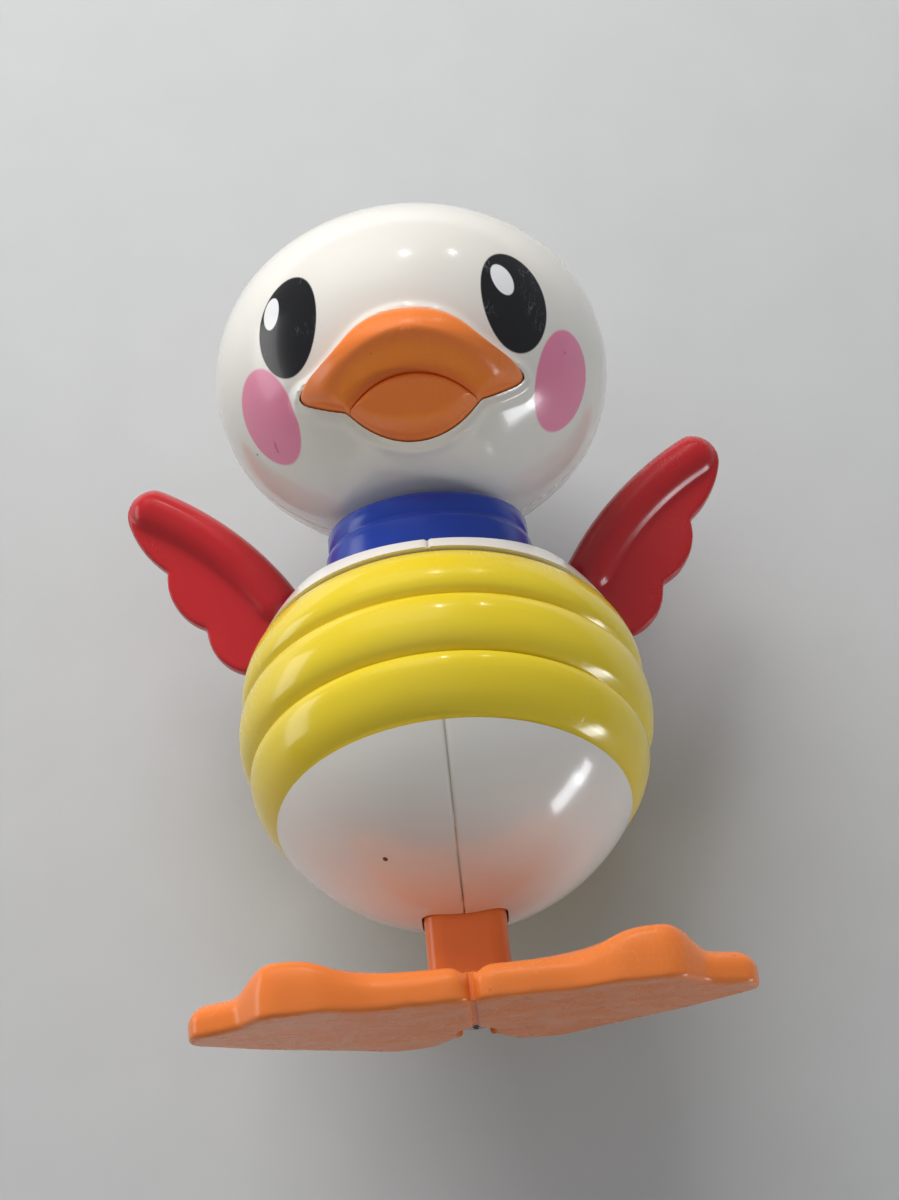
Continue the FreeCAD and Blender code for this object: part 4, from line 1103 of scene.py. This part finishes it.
def makeKey():
    k = keyLook
    hub = cylinder(k["hub"], (0, k["start"], k["z"]), (0, 1, 0), k["hubLength"], 64)
    gripY = k["start"] + k["hubLength"] - 1
    ear = k["depth"] / 2
    outline = []
    for side in (1, -1):
        outline += [(side * (k["half"] - ear + x), gripY + ear + side * y)
                    for x, y in arc(ear, -math.pi / 2, math.pi / 2, 16)]
    grip = plate(outline, k["z"] - k["thick"] / 2, k["z"] + k["thick"] / 2)
    soften(grip, 0.5, 3, 40)
    soften(hub, 0.4, 3, 40)
    key = melted([hub, grip], 0.22, 3)
    key = carved(key, [cylinder(1.8, (0, k["start"] - 1, k["z"]), (0, 1, 0), k["hubLength"] - 0.4, 32)])
    finishPiece(key, "windingKey", "winding", ["winding_key"], collarMaterial, 40)


springShape = {"wire": 0.45, "turns": 4, "around": 14, "perTurn": 40, "hop": 2.6}


def makeSpring():
    # a coil on the leg's guide
    s = springShape
    low, high = (Vector(corner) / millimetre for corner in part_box("return_spring"))
    wire, steps = s["wire"], s["turns"] * s["perTurn"]
    rise = high.z - low.z - 2 * wire
    coil = bmesh.new()
    ring = bmesh.ops.create_circle(coil, segments=s["around"], radius=wire,
                                   matrix=Matrix.Translation((high.x - wire, 0, low.z + wire))
                                   @ Matrix.Rotation(math.pi / 2, 4, "X"))
    bmesh.ops.spin(coil, geom=ring["verts"] + coil.edges[:], cent=(0, 0, 0), axis=(0, 0, 1),
                   dvec=(0, 0, rise / steps), angle=2 * math.pi * s["turns"], steps=steps)
    bmesh.ops.holes_fill(coil, edges=openEdges(coil))
    bmesh.ops.recalc_face_normals(coil, faces=coil.faces)
    spring = finishPiece(coil, "returnSpring", "body", ["return_spring"], springMaterial,
                         50)
    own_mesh(spring)


bodyMaterial = mouldedMaterial("bodyWhite", whiteLook, bellySpots)
bandMaterial = mouldedMaterial("bandYellow", yellowLook, bandFlash)
collarMaterial = mouldedMaterial("collarBlue", blueLook)
wingMaterial = mouldedMaterial("wingRed", redLook)
feetMaterial = mouldedMaterial("feetOrange", orangeLook, soleScratches)
stemMaterial = mouldedMaterial("stemOrange", orangeLook)
steelMaterial = mouldedMaterial("platedSteel", steelLook)
springMaterial = mouldedMaterial("springSteel", springLook)
gearMaterial = mouldedMaterial("gearNylon", gearLook)

makeBody()
makeBand()
makeCollar()
print("body done")
makeWings()
print("wings done")
makeFeet()
makeStem()
makeKey()
makeSpring()
print("leg and key done")

insideMaterials = {
    "screw_steel": steelMaterial, "motor_steel": steelMaterial, "spring_steel": springMaterial,
    "gear_plastic": gearMaterial,
}
slotOf = {part["node"]: part["material_slot"] for part in frame["record"]["subparts"]}
for nodeName, node in nodes.items():
    material = insideMaterials.get(slotOf[nodeName])
    if not material:
        continue
    node.data.materials.clear()
    node.data.materials.append(material)
    node.data.polygons.foreach_set("use_smooth", [True] * len(node.data.polygons))
    join = node.modifiers.new("join", "WELD")
    join.merge_threshold = 0.000002
    split = node.modifiers.new("edges", "EDGE_SPLIT")
    split.split_angle = math.radians(30)
print("inner pieces done")

roomLook = {
    "floorY": 0.0492, "floorHalf": 1.6, "floorColour": (0.56, 0.57, 0.58, 1),
    "camera": (0.0028, -0.4431, -0.1004), "lookUp": 22.0, "roll": 5.8, "lens": 79.95,
}


def makeFloor():
    # the toy lies on its back on a pale sheet, seen only from the front so that the back can be looked at
    bm = bmesh.new()
    bmesh.ops.create_grid(bm, x_segments=8, y_segments=8, size=roomLook["floorHalf"],
                          matrix=Matrix.Translation((0, roomLook["floorY"], 0.07)) @ Matrix.Rotation(
                              math.radians(90), 4, "X"))
    floor = newObject(bm, "floor")
    material = bpy.data.materials.new("floorPale")
    material.use_nodes = True
    tree = material.node_tree
    tree.nodes.clear()
    out = addNode(tree, "ShaderNodeOutputMaterial", 600, 0)
    cloth = addNode(tree, "ShaderNodeBsdfPrincipled", 0, 0)
    cloth.inputs["Roughness"].default_value = 0.85
    paler = tuple(c * 1.08 for c in roomLook["floorColour"][:3]) + (1,)
    cloud = noiseNode(tree, objectPlace(tree), 60, 6)
    tree.links.new(tinted(tree, roomLook["floorColour"], cloud, paler), cloth.inputs["Base Color"])
    clear = addNode(tree, "ShaderNodeBsdfTransparent", 0, -500)
    sides = addNode(tree, "ShaderNodeNewGeometry", 0, 300)
    choose = addNode(tree, "ShaderNodeMixShader", 300, 0)
    tree.links.new(sides.outputs["Backfacing"], choose.inputs[0])
    tree.links.new(cloth.outputs[0], choose.inputs[1])
    tree.links.new(clear.outputs[0], choose.inputs[2])
    tree.links.new(choose.outputs[0], out.inputs[0])
    floor.data.materials.append(material)


def softLight(name, place, height, size, power, colour=(1, 1, 1), glossy=True):
    # a soft panel turned towards a height on the toy's axis
    data = bpy.data.lights.new(name, "AREA")
    data.shape = "RECTANGLE"
    data.size, data.size_y = size
    data.energy = power
    data.color = colour
    light = bpy.data.objects.new(name, data)
    light.location = place
    light.visible_glossy = glossy
    light.rotation_euler = (Vector((0, 0, height)) - Vector(place)).to_track_quat("-Z", "Y").to_euler()
    bpy.context.scene.collection.objects.link(light)


def makeCamera():
    r = roomLook
    up = math.radians(r["lookUp"])
    roll = math.radians(r["roll"])
    right = Vector((1, 0, 0))
    forward = Vector((0, math.cos(up), math.sin(up)))
    above = Vector((0, -math.sin(up), math.cos(up)))
    x = right * math.cos(roll) - above * math.sin(roll)
    y = right * math.sin(roll) + above * math.cos(roll)
    data = bpy.data.cameras.new("camera")
    data.lens = r["lens"]
    data.sensor_width = 36
    data.clip_start = 0.01
    data.clip_end = 20
    camera = bpy.data.objects.new("camera", data)
    camera.matrix_world = Matrix((x, y, -forward)).transposed().to_4x4()
    camera.location = r["camera"]
    bpy.context.scene.collection.objects.link(camera)
    bpy.context.scene.camera = camera


makeFloor()
makeCamera()
softLight("skyLight", (-0.20, -0.42, 0.72), 0.06, (0.6, 0.5), 6.4, (1.0, 0.98, 0.95), False)
softLight("frontFill", (-0.30, -0.85, 0.05), 0.08, (1.1, 1.1), 1.7, (1.0, 0.99, 0.97), False)
softLight("lampLeft", (0.03, -0.40, 0.70), 0.08, (0.016, 0.026), 0.14)
softLight("lampRight", (0.25, -0.31, 0.66), 0.08, (0.014, 0.022), 0.09)
softLight("paneLeft", (0.50, 0.0, -0.30), 0.08, (0.085, 0.20), 0.55, (0.92, 0.96, 1.0))
softLight("paneRight", (0.52, 0.03, -0.18), 0.08, (0.085, 0.10), 0.28, (0.92, 0.96, 1.0))
softLight("sideGlow", (-0.62, -0.05, 0.22), 0.07, (0.20, 0.45), 0.6)
softLight("backLight", (0.1, 0.7, 0.45), 0.08, (0.6, 0.6), 2.0)
world = bpy.data.worlds.new("room")
world.use_nodes = True
world.node_tree.nodes["Background"].inputs[0].default_value = (0.80, 0.83, 0.86, 1)
world.node_tree.nodes["Background"].inputs[1].default_value = 0.26
bpy.context.scene.world = world
bpy.context.scene.view_settings.view_transform = "Standard"
print("room done")
